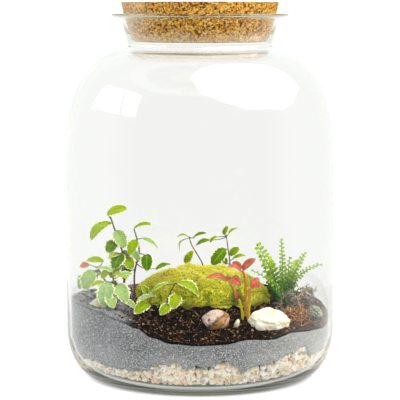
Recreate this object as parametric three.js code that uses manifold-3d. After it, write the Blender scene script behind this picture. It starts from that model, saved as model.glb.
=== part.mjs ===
import * as THREE from 'three';
import { mergeVertices } from 'three/addons/utils/BufferGeometryUtils.js';
import Module from 'manifold-3d';

// A planted terrarium: a round-shouldered glass jar with a tapered cork lid, filled with drainage
// gravel, grey grit, potting soil, a moss cushion, stones and small plants.
// Millimetres, +Z up, the origin on the floor under the middle of the jar, the front towards -Y.

// Driving dimensions of the jar and its lid
const BODY_RADIUS = 140;
const JAR_HEIGHT = 378;
const GLASS = 3;
const BASE_GLASS = 9;
const FOOT_RADIUS = 111;
const FOOT_WIDTH = 10;
const WALL_TOP = 238;
const NECK_BOTTOM = 341.5;
const LIP_RADIUS = 91.8;
const CORK_TOP = 390;
const CORK_BOTTOM = 348.5;
const CORK_TOP_RADIUS = 82.3;
const CORK_BOTTOM_RADIUS = 72.5;

// Driving dimensions of the filling
const FILL_RADIUS = 136.2;
const GRAVEL_LEVEL = 30;
const GRIT_LEVEL = 50;
const SOIL_LEVEL = 78;
const HOLLOW = { centre: [-45, -80], depth: 7, reach: 35 };

// Clearances, and how finely round things are faceted
const GAP = 0.35;
const JAR_SIDES = 36;
const FILL_SIDES = 48;
const ROOT_DEPTH = 11;
const BLADE = 0.8;
const PETIOLE = 0.65;

const wasm = await Module();
wasm.setup();

// Colours and finishes
const finish = (color, roughness, metalness = 0) =>
  new THREE.MeshStandardMaterial({ color, roughness, metalness });
const clearGlass = new THREE.MeshStandardMaterial({
  color: 0xf2f7f4, roughness: 0.03, metalness: 0, transparent: true, opacity: 0.3,
});
const cork = finish(0xc8964f, 0.85);
const gravel = finish(0xe6d3a8, 0.7);
const grit = finish(0x8a8a8c, 0.9);
const soil = finish(0x2b201a, 0.95);
const moss = finish(0xb9bf2a, 0.95);
const bandedStone = finish(0xb9906a, 0.55);
const paleStone = finish(0xf3e9cf, 0.6);
const figLeaf = finish(0x8fb83a, 0.45);
const redLeaf = finish(0xc4453a, 0.45);
const fernLeaf = finish(0x5d9a3f, 0.5);
const bark = finish(0x8a5a3c, 0.9);
const lichen = finish(0x93a08c, 0.9);
const rootWood = finish(0x6a6a72, 0.85);

// A number from 0 to 1 that is always the same for the same draw
function seeded(seed) {
  let state = seed;
  return () => {
    state = (state * 1664525 + 1013904223) % 4294967296;
    return state / 4294967296;
  };
}

// Closed meshes to solids and back
function toSolid(geometry) {
  const bare = geometry.clone();
  bare.deleteAttribute('normal');
  bare.deleteAttribute('uv');
  const merged = mergeVertices(bare, 1e-4);
  return new wasm.Manifold(new wasm.Mesh({
    numProp: 3,
    vertProperties: new Float32Array(merged.attributes.position.array),
    triVerts: new Uint32Array(merged.index.array),
  }));
}

function toGeometry(solid) {
  const mesh = solid.getMesh();
  const geometry = new THREE.BufferGeometry();
  geometry.setAttribute('position', new THREE.BufferAttribute(mesh.vertProperties, 3));
  geometry.setIndex(new THREE.BufferAttribute(mesh.triVerts, 1));
  geometry.computeVertexNormals();
  return geometry;
}

function faceted(points, faces) {
  const geometry = new THREE.BufferGeometry();
  geometry.setAttribute('position', new THREE.Float32BufferAttribute(points.flat(), 3));
  geometry.setIndex(faces.flat());
  return geometry;
}

// A closed body from rings of points, the lowest ring first, each ring anticlockwise from above.
// A cell's diagonal starts on its wider ring, so that faces that lie on each other match.
function ringBody(bottomCentre, rings, topCentre) {
  const sides = rings[0].length;
  const reach = (ring) => Math.hypot(rings[ring][0][0], rings[ring][0][1]);
  const points = [bottomCentre, ...rings.flat(), topCentre];
  const at = (ring, side) => 1 + ring * sides + (side % sides);
  const faces = [];
  for (let side = 0; side < sides; side += 1) {
    faces.push([0, at(0, side + 1), at(0, side)]);
    faces.push([points.length - 1, at(rings.length - 1, side), at(rings.length - 1, side + 1)]);
    for (let ring = 1; ring < rings.length; ring += 1) {
      const cell = [at(ring - 1, side), at(ring - 1, side + 1), at(ring, side + 1), at(ring, side)];
      const [a, b, c, d] = reach(ring) > reach(ring - 1) ? [...cell.slice(1), cell[0]] : cell;
      faces.push([a, b, c], [a, c, d]);
    }
  }
  return faceted(points, faces);
}

// The jar: one blown wall from the foot ring over the shoulder to the flat lip
const flat = (radius, height) => new THREE.Vector2(radius, height);
const corkRadius = (height) => THREE.MathUtils.mapLinear(
  height, CORK_BOTTOM, CORK_TOP, CORK_BOTTOM_RADIUS, CORK_TOP_RADIUS,
);

const baseCurve = new THREE.CubicBezierCurve(
  flat(FOOT_RADIUS, 0), flat(FOOT_RADIUS + 17, 3), flat(BODY_RADIUS - 1, 23), flat(BODY_RADIUS, 46),
).getPoints(5);
const shoulderCurve = new THREE.CubicBezierCurve(
  flat(BODY_RADIUS, WALL_TOP), flat(BODY_RADIUS, 275), flat(BODY_RADIUS - 12, 338),
  flat(CORK_BOTTOM_RADIUS + 3.3, NECK_BOTTOM),
).getPoints(7);
const outerWall = [...baseCurve, ...shoulderCurve];

// The inner wall follows the outer one at the glass's thickness, thicker at the base
const innerWall = outerWall.map((point, index) => {
  const before = outerWall[Math.max(index - 1, 0)];
  const after = outerWall[Math.min(index + 1, outerWall.length - 1)];
  const along = after.clone().sub(before).normalize();
  const share = Math.min(index / (baseCurve.length - 1), 1);
  const thickness = THREE.MathUtils.lerp(BASE_GLASS, GLASS, Math.sqrt(share));
  return flat(point.x - along.y * thickness, point.y + along.x * thickness);
});

function glassJar() {
  const neckOuter = (height) => flat(corkRadius(height) + GAP + GLASS - 0.2, height);
  const neckInner = (height) => flat(corkRadius(height) + GAP, height);
  const profile = [
    flat(0, 4.5),
    flat(FOOT_RADIUS - FOOT_WIDTH - 4, 1.5),
    flat(FOOT_RADIUS - FOOT_WIDTH, 0),
    ...outerWall,
    neckOuter(NECK_BOTTOM + 4),
    neckOuter(JAR_HEIGHT - 7),
    flat(LIP_RADIUS - 8, JAR_HEIGHT - 4),
    flat(LIP_RADIUS - 0.8, JAR_HEIGHT - 2.8),
    flat(LIP_RADIUS, JAR_HEIGHT - 1.4),
    flat(LIP_RADIUS - 0.8, JAR_HEIGHT),
    flat(corkRadius(JAR_HEIGHT) + 1.6, JAR_HEIGHT),
    neckInner(JAR_HEIGHT - 1.5),
    neckInner(CORK_BOTTOM),
    flat(CORK_BOTTOM_RADIUS, NECK_BOTTOM + 2),
    ...innerWall.toReversed(),
    flat(0, innerWall[0].y),
  ];
  const geometry = new THREE.LatheGeometry(profile, JAR_SIDES);
  geometry.rotateX(Math.PI / 2);
  return new THREE.Mesh(geometry, clearGlass);
}

function corkLid() {
  const bevel = 1.2;
  const profile = [
    flat(0, CORK_BOTTOM),
    flat(CORK_BOTTOM_RADIUS - bevel, CORK_BOTTOM),
    flat(corkRadius(CORK_BOTTOM + bevel), CORK_BOTTOM + bevel),
    flat(corkRadius(CORK_TOP - bevel), CORK_TOP - bevel),
    flat(CORK_TOP_RADIUS - bevel, CORK_TOP),
    flat(0, CORK_TOP),
  ];
  const geometry = new THREE.LatheGeometry(profile, JAR_SIDES);
  geometry.rotateX(Math.PI / 2);
  return new THREE.Mesh(geometry, cork);
}

// Heights along the glass, as [angle from the front in degrees, height], right side positive
const SOIL_RIM = [
  [-180, 76], [-135, 76], [-105, 80], [-90, 82], [-60, 85], [-47, 83], [-37, 78], [-27, 72],
  [-20, 64], [-12, 59], [0, 57.5], [10, 58.5], [20, 62], [32, 60], [42, 64], [55, 62], [68, 60],
  [90, 67], [115, 72], [150, 76], [180, 76],
];
const GRAVEL_RIM = [
  [-180, 30], [-90, 28], [-67, 27], [-53, 30], [-44, 26], [-26, 26], [-20, 33], [-11, 38],
  [-6, 33], [5, 33], [11, 41], [18, 28], [33, 35], [43, 41], [50, 46], [56, 34], [90, 32],
  [130, 27], [180, 30],
];

function alongRim(table, degrees) {
  const after = table.findIndex(([angle]) => angle >= degrees);
  const [a1, h1] = table[Math.max(after, 1)];
  const [a0, h0] = table[Math.max(after, 1) - 1];
  return THREE.MathUtils.lerp(h0, h1, THREE.MathUtils.smoothstep(degrees, a0, a1));
}

const frontAngle = (x, y) => THREE.MathUtils.radToDeg(Math.atan2(x, -y));

// Top faces of the three layers at any place
function soilTop(x, y) {
  const share = Math.min(Math.hypot(x, y) / FILL_RADIUS, 1);
  const rim = alongRim(SOIL_RIM, frontAngle(x, y));
  const lumps = 1.8 * Math.sin(x * 0.21 + 1) * Math.cos(y * 0.17) + 1.2 * Math.sin(x * 0.43 + y * 0.37);
  const [hx, hy] = HOLLOW.centre;
  const hollow = HOLLOW.depth * Math.exp(-((x - hx) ** 2 + (y - hy) ** 2) / HOLLOW.reach ** 2);
  return SOIL_LEVEL + (rim - SOIL_LEVEL) * share ** 1.8 + (lumps - hollow) * (1 - share ** 4);
}

function gritTop(x, y) {
  const share = Math.min(Math.hypot(x, y) / FILL_RADIUS, 1);
  return GRIT_LEVEL + (alongRim(SOIL_RIM, frontAngle(x, y)) - 2.5 - GRIT_LEVEL) * share ** 8;
}

function gravelTop(x, y) {
  const share = Math.min(Math.hypot(x, y) / FILL_RADIUS, 1);
  const jag = 1.6 * Math.sin(frontAngle(x, y) * 0.61) * Math.cos(frontAngle(x, y) * 1.37);
  return GRAVEL_LEVEL + (alongRim(GRAVEL_RIM, frontAngle(x, y)) + jag - GRAVEL_LEVEL) * share ** 6;
}

// How far the filling reaches at a height, a little inside the glass
function fillRadius(height) {
  const after = innerWall.findIndex((point) => point.y >= height);
  const upper = innerWall[Math.max(after, 1)];
  const lower = innerWall[Math.max(after, 1) - 1];
  const inner = THREE.MathUtils.mapLinear(height, lower.y, upper.y, lower.x, upper.x);
  return Math.min(inner * Math.cos(Math.PI / JAR_SIDES) - GAP, FILL_RADIUS);
}

function circlePoints(radius, heightAt) {
  return Array.from({ length: FILL_SIDES }, (_, side) => {
    const turn = (side / FILL_SIDES) * 2 * Math.PI;
    const x = radius * Math.sin(turn);
    const y = -radius * Math.cos(turn);
    return [x, y, heightAt(x, y, turn)];
  });
}

// The rim of a layer, where its top face meets the glass
function rimPoints(heightAt, lift = 0) {
  return circlePoints(FILL_RADIUS, heightAt).map(([x, y, height]) => {
    const scale = fillRadius(height + lift) / FILL_RADIUS;
    return [x * scale, y * scale, height + lift];
  });
}

const TOP_RADII = [126, 108, 84, 56, 28];
const LOW_RADII = [122, 95];

function layer(bottomRadii, bottomAt, sideRings, topRadii, topAt) {
  const rings = [
    ...bottomRadii.map((radius) => circlePoints(radius, bottomAt)),
    ...sideRings,
    ...topRadii.map((radius) => circlePoints(radius, topAt)),
  ];
  return ringBody([0, 0, bottomAt(0, 0)], rings, [0, 0, topAt(0, 0)]);
}

// Drainage stones: a bed whose side against the glass stands out stone by stone
const STONE_RELIEF = 2.8;

function gravelLayer() {
  const draw = seeded(11);
  const floor = innerWall[0].y + GAP;
  const rows = [0, 0.25, 0.5, 0.76].map((share, row) => rimPoints(
    (x, y) => THREE.MathUtils.lerp(floor, gravelTop(x, y), share) + (share > 0 ? 2.6 * (draw() - 0.5) : 0),
  ).map(([x, y, height], side) => {
    const sunk = (side + row) % 2 === 0 ? STONE_RELIEF : 0;
    const dent = share > 0 ? 1 - (sunk + draw()) / FILL_RADIUS : 1;
    return [x * dent, y * dent, height];
  }));
  const geometry = layer([], () => floor, [...rows, rimPoints(gravelTop)], [95], gravelTop);
  return new THREE.Mesh(geometry, gravel);
}

function gritBody(lift = 0) {
  const over = (x, y) => gravelTop(x, y) + GAP;
  const top = (x, y) => gritTop(x, y) + lift;
  const middle = (x, y) => THREE.MathUtils.lerp(over(x, y), gritTop(x, y), 0.5);
  const sides = [rimPoints(over), rimPoints(middle), rimPoints(top)];
  return layer([95], over, sides, LOW_RADII, top);
}

function soilBody(lift = 0) {
  const under = (x, y) => gritTop(x, y) + GAP;
  const top = (x, y) => soilTop(x, y) + lift;
  return layer(LOW_RADII.toReversed(), under, [rimPoints(under), rimPoints(top)], TOP_RADII, top);
}

// Rounded stones: a ball of flats, pulled out of round by a slow wave
function stoneGeometry({ centre, size, turn, seed, peak = 0, grow = 0 }) {
  const ball = new THREE.IcosahedronGeometry(1, 1);
  const geometry = mergeVertices(ball.deleteAttribute('normal').deleteAttribute('uv'));
  const position = geometry.attributes.position;
  const spin = new THREE.Euler(...turn);
  const halfSize = new THREE.Vector3(...size).divideScalar(2).addScalar(grow);
  for (let index = 0; index < position.count; index += 1) {
    const point = new THREE.Vector3().fromBufferAttribute(position, index);
    const long = 0.09 * Math.sin(point.x * 3.1 + seed);
    const short = 0.07 * Math.cos(point.y * 4.3 - seed * 2 + point.z * 2);
    point.multiplyScalar(1 + long + short);
    point.z *= 1 + peak * (0.5 - Math.abs(point.x + 0.1));
    point.multiply(halfSize);
    point.applyEuler(spin).add(new THREE.Vector3(...centre));
    position.setXYZ(index, point.x, point.y, point.z);
  }
  return geometry;
}

const STONES = {
  banded_pebble: {
    centre: [16, -94, 72], size: [30, 22, 21], turn: [0.1, 0.12, 0.1], seed: 1, material: bandedStone,
  },
  white_stone: {
    centre: [70, -89, 70], size: [40, 25, 27], turn: [0, 0.1, 0.2], seed: 4, peak: 0.35, material: paleStone,
  },
  white_chip: {
    centre: [36.5, -92, 67], size: [6, 7, 13], turn: [0.2, 0.3, 0], seed: 2, material: paleStone,
  },
  cream_stone: {
    centre: [-106, -64, 82], size: [12, 12, 15], turn: [0, 0.2, 0.4], seed: 7, material: paleStone,
  },
};

// The moss: one cushion with a lumpy crown, lying on the soil behind the stones
const MOSS = { centre: [1, 8], reach: [73, 51], rise: 35, sides: 30, rings: [1, 0.92, 0.75, 0.5] };

function mossHeight(x, y) {
  const across = (x - MOSS.centre[0]) / MOSS.reach[0];
  const deep = (y - MOSS.centre[1]) / MOSS.reach[1];
  const out = Math.min(across ** 2 + deep ** 2, 1);
  const lumps = 2.6 * Math.sin(x * 0.16 + 0.6) * Math.sin(y * 0.19 + 1) + 1.8 * Math.sin(x * 0.37 - y * 0.29);
  return SOIL_LEVEL + (MOSS.rise + lumps) * (1 - out) ** 0.55;
}

function mossBody() {
  const oval = (share, heightAt) => Array.from({ length: MOSS.sides }, (_, side) => {
    const turn = (side / MOSS.sides) * 2 * Math.PI;
    const wobble = 1 + 0.05 * Math.sin(turn * 5 + 1);
    const x = MOSS.centre[0] + MOSS.reach[0] * share * wobble * Math.cos(turn);
    const y = MOSS.centre[1] + MOSS.reach[1] * share * wobble * Math.sin(turn);
    return [x, y, heightAt(x, y)];
  });
  const foot = SOIL_LEVEL - 8;
  const rings = [
    oval(0.97, () => foot),
    oval(1, () => SOIL_LEVEL),
    ...MOSS.rings.map((share) => oval(share * 0.985, (x, y) => mossHeight(x, y))),
  ];
  const [x, y] = MOSS.centre;
  return ringBody([x, y, foot], rings, [x, y, mossHeight(x, y)]);
}

// The directions of a blade: along its rib, across it, and up out of its upper face
function bladeAxes(from, to, face) {
  const along = new THREE.Vector3(...to).sub(new THREE.Vector3(...from));
  const length = along.length();
  along.normalize();
  const up = new THREE.Vector3(...face);
  up.addScaledVector(along, -up.dot(along)).normalize();
  return { length, along, up, across: new THREE.Vector3().crossVectors(along, up) };
}

// A point of a leaf's upper face: its share of the length, its side of the rib, its edge's lean
const FORWARD = [0, -1, 0.6];

function leafSpot(leaf, share, side, lean) {
  const { from, to, width, face = FORWARD, arch = 0.12, fold = 0.12 } = leaf;
  const { length, along, up, across } = bladeAxes(from, to, face);
  const spread = Math.sin(Math.PI * share ** 0.85) ** 0.75;
  const rise = length * arch * 4 * share * (1 - share) + Math.abs(side) * width * (fold * spread + lean);
  return new THREE.Vector3(...from)
    .addScaledVector(along, length * share)
    .addScaledVector(across, side * (width / 2) * spread)
    .addScaledVector(up, rise);
}

// A leaf blade: arched along its rib, folded or spread across it, with a waved edge.
// Both faces are split alike, so that the blade is equally thick all over.
const LEAF_ROWS = [0.2, 0.5, 0.8];
const LEAF_WAVE = 0.05;

function blade(leaf) {
  const { up } = bladeAxes(leaf.from, leaf.to, leaf.face ?? FORWARD);
  const upper = [leafSpot(leaf, 0, 0, 0)];
  LEAF_ROWS.forEach((share, row) => {
    const lean = LEAF_WAVE * (row % 2 === 0 ? 1 : -1);
    upper.push(leafSpot(leaf, share, -1, lean), leafSpot(leaf, share, 0, 0), leafSpot(leaf, share, 1, -lean));
  });
  upper.push(leafSpot(leaf, 1, 0, 0));
  const lower = upper.map((point) => point.clone().addScaledVector(up, -BLADE));
  const half = upper.length;
  const tip = half - 1;
  const top = [[0, 2, 1], [0, 3, 2], [tip, tip - 3, tip - 2], [tip, tip - 2, tip - 1]];
  for (let row = 0; row < LEAF_ROWS.length - 1; row += 1) {
    const a = 1 + row * 3;
    top.push([a, a + 1, a + 4], [a, a + 4, a + 3], [a + 1, a + 2, a + 5], [a + 1, a + 5, a + 4]);
  }
  const edge = [0, 3, 6, 9, tip, 7, 4, 1];
  const sides = edge.flatMap((point, index) => {
    const next = edge[(index + 1) % edge.length];
    return [[point, point + half, next + half], [point, next + half, next]];
  });
  const bottom = top.map(([a, b, c]) => [a + half, c + half, b + half]);
  return faceted([...upper, ...lower].map((point) => point.toArray()), [...top, ...bottom, ...sides]);
}

// A stalk along a smooth line
const vectors = (points) => points.map((point) => new THREE.Vector3(...point));
const smoothLine = (points) => new THREE.CatmullRomCurve3(vectors(points));

function stalk(points, radius, sides = 4, steps = points.length + 1) {
  const section = new THREE.Shape(Array.from({ length: sides }, (_, side) => {
    const turn = (side / sides) * 2 * Math.PI;
    return flat(radius * Math.cos(turn), radius * Math.sin(turn));
  }));
  return new THREE.ExtrudeGeometry(section, { steps, extrudePath: smoothLine(points) });
}

// The straight root of a stem, and the hole that it stands in
const ROOT_COLLAR = 2.5;

function rootPeg(x, y, radius) {
  const top = soilTop(x, y) + ROOT_COLLAR;
  const length = ROOT_DEPTH + ROOT_COLLAR;
  const geometry = new THREE.CylinderGeometry(radius, radius, length, 4);
  return geometry.rotateX(Math.PI / 2).translate(x, y, top - length / 2);
}

function rootHole(x, y, radius) {
  const length = ROOT_DEPTH + 20;
  const wide = radius + 1.4 * GAP;
  const geometry = new THREE.CylinderGeometry(wide, wide, length, 4);
  return geometry.rotateX(Math.PI / 2).translate(x, y, soilTop(x, y) - ROOT_DEPTH - GAP + length / 2);
}

// Leafy stems. root: where the stem stands, [x, y]. stem: the points that it grows through.
// leaves: the blade runs from "from" to "to", on a petiole that leaves the stem at the height "at".
const UPWARD = [0, -0.4, 1];
const LEAFY_STEMS = {
  left_fig_main_stem: {
    root: [-78, -38], radius: 1.3, material: figLeaf,
    stem: [[-78, -38, 110], [-77, -38, 124], [-81, -38, 138], [-88, -38, 159], [-92, -38, 171]],
    leaves: [
      { at: 168, from: [-95, -39, 173], to: [-74, -44, 180], width: 14, arch: 0.1, face: [0, -1, 1] },
      { at: 164, from: [-91, -39, 165], to: [-112, -46, 147], width: 14, arch: 0.22, face: [0, -0.8, 1] },
      { at: 157, from: [-86, -40, 157], to: [-77, -46, 139], width: 15 },
      { at: 147, from: [-86, -40, 146], to: [-95, -46, 134], width: 14 },
      { at: 133, from: [-81, -40, 133], to: [-88, -52, 118], width: 16 },
      { at: 128, from: [-76, -40, 129], to: [-69, -48, 117], width: 13 },
      { at: 130, from: [-78, -36, 136], to: [-75, -33, 124], width: 8 },
      { at: 135, from: [-82, -42, 132], to: [-94, -50, 129], width: 9, face: UPWARD },
      { at: 117, from: [-83, -34, 116], to: [-94, -28, 107], width: 12 },
    ],
  },
  left_fig_right_branch: {
    root: [-68, -22], radius: 1.1, material: figLeaf,
    stem: [[-68, -23, 110], [-63, -29, 132], [-65, -34, 147], [-68, -36, 158]],
    leaves: [
      { at: 157, from: [-68, -37, 158], to: [-49, -42, 163], width: 10, face: UPWARD },
      { at: 146, from: [-66, -38, 147], to: [-72, -47, 132], width: 12 },
      { at: 147, from: [-61, -34, 148], to: [-43, -38, 137], width: 8, face: [0.3, -0.4, 1] },
      { at: 131, from: [-55, -34, 131], to: [-54, -46, 115], width: 14 },
      { at: 127, from: [-69, -32, 134], to: [-62, -40, 124], width: 8 },
      { at: 120, from: [-46, -14, 112], to: [-30, -10, 117], width: 9, face: UPWARD },
      { at: 122, from: [-72, -20, 121], to: [-88, -14, 115], width: 12 },
      { at: 114, from: [-72, -16, 112], to: [-82, -8, 102], width: 12 },
    ],
  },
  left_fig_low_spray: {
    root: [-94, -34], radius: 1.1, material: figLeaf,
    stem: [[-94, -34, 96], [-99, -36, 106], [-106, -38, 119]],
    leaves: [
      { at: 118, from: [-98, -44, 125], to: [-117, -46, 126], width: 10, arch: 0.1, face: [0, -0.8, 1] },
      { at: 115, from: [-110, -46, 117], to: [-117, -53, 96], width: 17 },
      { at: 117, from: [-115, -28, 120], to: [-124, -34, 117], width: 8 },
      { at: 114, from: [-119, -20, 109], to: [-125, -28, 93], width: 11 },
      { at: 111, from: [-92, -26, 119], to: [-76, -22, 126], width: 10, face: UPWARD },
      { at: 104, from: [-92, -44, 104], to: [-84, -54, 97], width: 10 },
      { at: 108, from: [-104, -28, 110], to: [-112, -18, 102], width: 11 },
    ],
  },
  left_fig_front_spray: {
    root: [-85, -64], radius: 1.1, material: figLeaf,
    stem: [[-85, -64, 92], [-86, -64, 104], [-90, -63, 116]],
    leaves: [
      { at: 108, from: [-92, -70, 108], to: [-97, -82, 84], width: 18 },
      { at: 103, from: [-82, -70, 106], to: [-73, -86, 88], width: 15 },
      { at: 110, from: [-84, -68, 112], to: [-67, -74, 116], width: 10, face: UPWARD },
      { at: 115, from: [-88, -62, 117], to: [-104, -64, 121], width: 9, face: UPWARD },
      { at: 96, from: [-79, -73, 89], to: [-64, -86, 83], width: 9, face: UPWARD },
      { at: 101, from: [-97, -70, 108], to: [-109, -72, 103], width: 9, face: UPWARD },
      { at: 99, from: [-91, -76, 96], to: [-86, -88, 84], width: 12 },
      { at: 112, from: [-92, -58, 116], to: [-101, -50, 110], width: 10 },
      { at: 111, from: [-89, -52, 113], to: [-73, -58, 109], width: 10, face: UPWARD },
      { at: 106, from: [-93, -62, 107], to: [-102, -64, 96], width: 11 },
    ],
  },
  front_fig_spray: {
    root: [-33, -63], radius: 1.1, material: figLeaf,
    stem: [[-33, -63, 88], [-30, -68, 97], [-25, -73, 107]],
    leaves: [
      { at: 107, from: [-23, -75, 108], to: [-1, -84, 95], width: 13, arch: 0.2, face: [0.3, -0.6, 1] },
      { at: 106, from: [-28, -75, 107], to: [-50, -83, 98], width: 10, face: [-0.2, -0.1, 1] },
      { at: 101, from: [-22, -80, 97], to: [-28, -88, 83], width: 14 },
      { at: 95, from: [-30, -84, 87], to: [-40, -92, 78], width: 11 },
    ],
  },
  front_fig_low_spray: {
    root: [-51, -66], radius: 1, material: figLeaf,
    stem: [[-51, -66, 86], [-50, -69, 93]],
    leaves: [
      { at: 89, from: [-51, -77, 87], to: [-66, -88, 78], width: 13, fold: 0.3 },
      { at: 91, from: [-44, -72, 94], to: [-64, -84, 89], width: 8, face: UPWARD },
      { at: 93, from: [-53, -70, 96], to: [-59, -72, 105], width: 7 },
    ],
  },
  back_fig_stem: {
    root: [5, 84], radius: 0.9, material: figLeaf,
    stem: [[5, 84, 92], [2, 84, 105], [-9, 83, 124], [-12, 82, 134]],
    leaves: [
      { at: 132, from: [-13, 81, 132], to: [-22, 77, 118], width: 6, arch: 0.3, face: [-1, 0, 1] },
      { at: 133, from: [-13, 82, 134], to: [-25, 78, 134], width: 5, arch: 0.2, face: UPWARD },
      { at: 133, from: [-8, 81, 132], to: [8, 78, 138], width: 8, face: UPWARD },
    ],
  },
  back_fig_tall_stem: {
    root: [33, 84], radius: 0.9, material: figLeaf,
    stem: [[33, 84, 92], [33, 84, 106], [31, 84, 121], [29, 83, 136]],
    leaves: [
      { at: 134, from: [31, 82, 136], to: [42, 80, 144], width: 6, face: UPWARD },
      { at: 135, from: [26, 83, 136], to: [31, 82, 146], width: 6 },
      { at: 134, from: [19, 81, 134], to: [11, 79, 128], width: 7, face: UPWARD },
      { at: 133, from: [12, 80, 130], to: [-5, 78, 124], width: 9, face: UPWARD },
      { at: 120, from: [28, 80, 121], to: [13, 72, 103], width: 16 },
      { at: 113, from: [33, 80, 114], to: [44, 76, 122], width: 10 },
      { at: 107, from: [35, 82, 108], to: [51, 78, 113], width: 8, face: UPWARD },
      { at: 103, from: [30, 82, 104], to: [22, 76, 111], width: 8 },
    ],
  },
  back_fig_sprout: {
    root: [-16, 66], radius: 0.9, material: figLeaf,
    stem: [[-16, 66, 92], [-16, 66, 106]],
    leaves: [{ at: 105, from: [-16, 65, 106], to: [-7, 62, 122], width: 9 }],
  },
  red_plant_left_stem: {
    root: [43, -68], radius: 1.5, material: redLeaf,
    stem: [[42, -68, 80], [39, -69, 90], [31, -70, 106]],
    leaves: [
      { at: 103, from: [27, -72, 112], to: [6, -77, 113], width: 10, face: UPWARD },
      { at: 104, from: [31, -71, 111], to: [41, -80, 106], width: 11, arch: 0.25 },
      { at: 104, from: [34, -66, 106], to: [20, -60, 110], width: 9, face: UPWARD },
      { at: 89, from: [38, -72, 90], to: [36, -75, 99], width: 6 },
    ],
  },
  red_plant_middle_stem: {
    root: [46, -64], radius: 1.5, material: redLeaf,
    stem: [[46, -64, 82], [46, -65, 95], [46, -66, 109], [43, -67, 119]],
    leaves: [
      { at: 118, from: [43, -68, 120], to: [56, -73, 132], width: 9, face: [-0.6, -1, 0.6] },
      { at: 117, from: [41, -68, 119], to: [28, -72, 124], width: 10, face: UPWARD },
      { at: 117, from: [42, -63, 120], to: [33, -56, 126], width: 8 },
    ],
  },
  red_plant_right_stem: {
    root: [49, -70], radius: 1.9, material: redLeaf,
    stem: [[49, -70, 78], [50, -70, 88], [50, -69, 101]],
    leaves: [
      { at: 99, from: [52, -70, 101], to: [63, -76, 104], width: 9, face: UPWARD },
      { at: 99, from: [51, -66, 102], to: [60, -58, 110], width: 8 },
    ],
  },
};

function leafyStem({ root, radius, stem, leaves }) {
  const foot = [[root[0], root[1], soilTop(...root) + 1], [root[0], root[1], soilTop(...root) + 5]];
  const line = [...foot, ...stem];
  let body = toSolid(rootPeg(...root, radius)).add(toSolid(stalk(line, radius)));
  const grown = smoothLine(line).getSpacedPoints(line.length + 1);
  for (const leaf of leaves) {
    const above = grown.findIndex((point, index) => index > 0 && point.z >= leaf.at);
    const [lower, upper] = above < 0 ? grown.slice(-2) : [grown[above - 1], grown[above]];
    const share = THREE.MathUtils.clamp((leaf.at - lower.z) / (upper.z - lower.z), 0, 1);
    const joint = lower.clone().lerp(upper, share);
    const { up } = bladeAxes(leaf.from, leaf.to, leaf.face ?? FORWARD);
    const neck = leafSpot(leaf, 0, 0, 0).lerp(leafSpot(leaf, LEAF_ROWS[0], 0, 0), 0.5);
    neck.addScaledVector(up, -BLADE / 2);
    const petiole = stalk([joint.toArray(), neck.toArray()], PETIOLE, 3, 1);
    body = body.add(toSolid(petiole)).add(toSolid(blade(leaf)));
  }
  return body;
}

// Fern fronds: each a rib with round leaflets, cut to the rib in one thin arched blade
const FERN_ROOT = [90, 4];
const FERN_RIB = 0.8;
const FERN_PEG = 1.1;
const FROND_BARE_SHARE = 0.16;
const FRONDS = [
  { root: [-5, 2], tip: [60, 2, 136], arch: 0.14, width: 19, pairs: 8, face: [0.3, -1, 0.3], open: 0.5 },
  { root: [-1, 6], tip: [86, 8, 141], arch: 0.02, width: 10, pairs: 9, face: [0.2, -1, 0.2] },
  { root: [4, 5], tip: [112, 12, 126], arch: 0.18, width: 11, pairs: 8, face: [-0.4, -1, 0.5] },
  { root: [8, 1], tip: [128, -3, 116], arch: 0.31, width: 12, pairs: 9, face: [-0.3, -0.7, 1] },
  { root: [8, -8], tip: [114, -24, 93], arch: 0.24, width: 9, pairs: 5, face: [0, -0.5, 1] },
  { root: [-6, -3], tip: [54, -12, 111], arch: 0.2, width: 9, pairs: 6, face: [0.2, -0.8, 1] },
  { root: [-5, -8], tip: [68, -28, 106], arch: 0.25, width: 10, pairs: 5, face: [0, -1, 0.7] },
  { root: [4, -11], tip: [100, -36, 100], arch: 0.25, width: 10, pairs: 5, face: [0, -1, 0.7] },
  { root: [0, 1], tip: [94, -9, 124], arch: 0.1, width: 10, pairs: 6, face: [0, -1, 0.4] },
  { root: [-4, 7], tip: [72, 30, 122], arch: 0.15, width: 11, pairs: 7, face: [0, -1, 0.5] },
  { root: [4, 9], tip: [104, 38, 114], arch: 0.2, width: 11, pairs: 7, face: [0, -0.6, 1] },
  { root: [-10, -2], tip: [63, -4, 126], arch: 0.14, width: 10, pairs: 5, face: [0, -1, 0.5] },
  { root: [0, -3], tip: [83, -22, 116], arch: 0.12, width: 10, pairs: 5, face: [0, -1, 0.5] },
];

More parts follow.
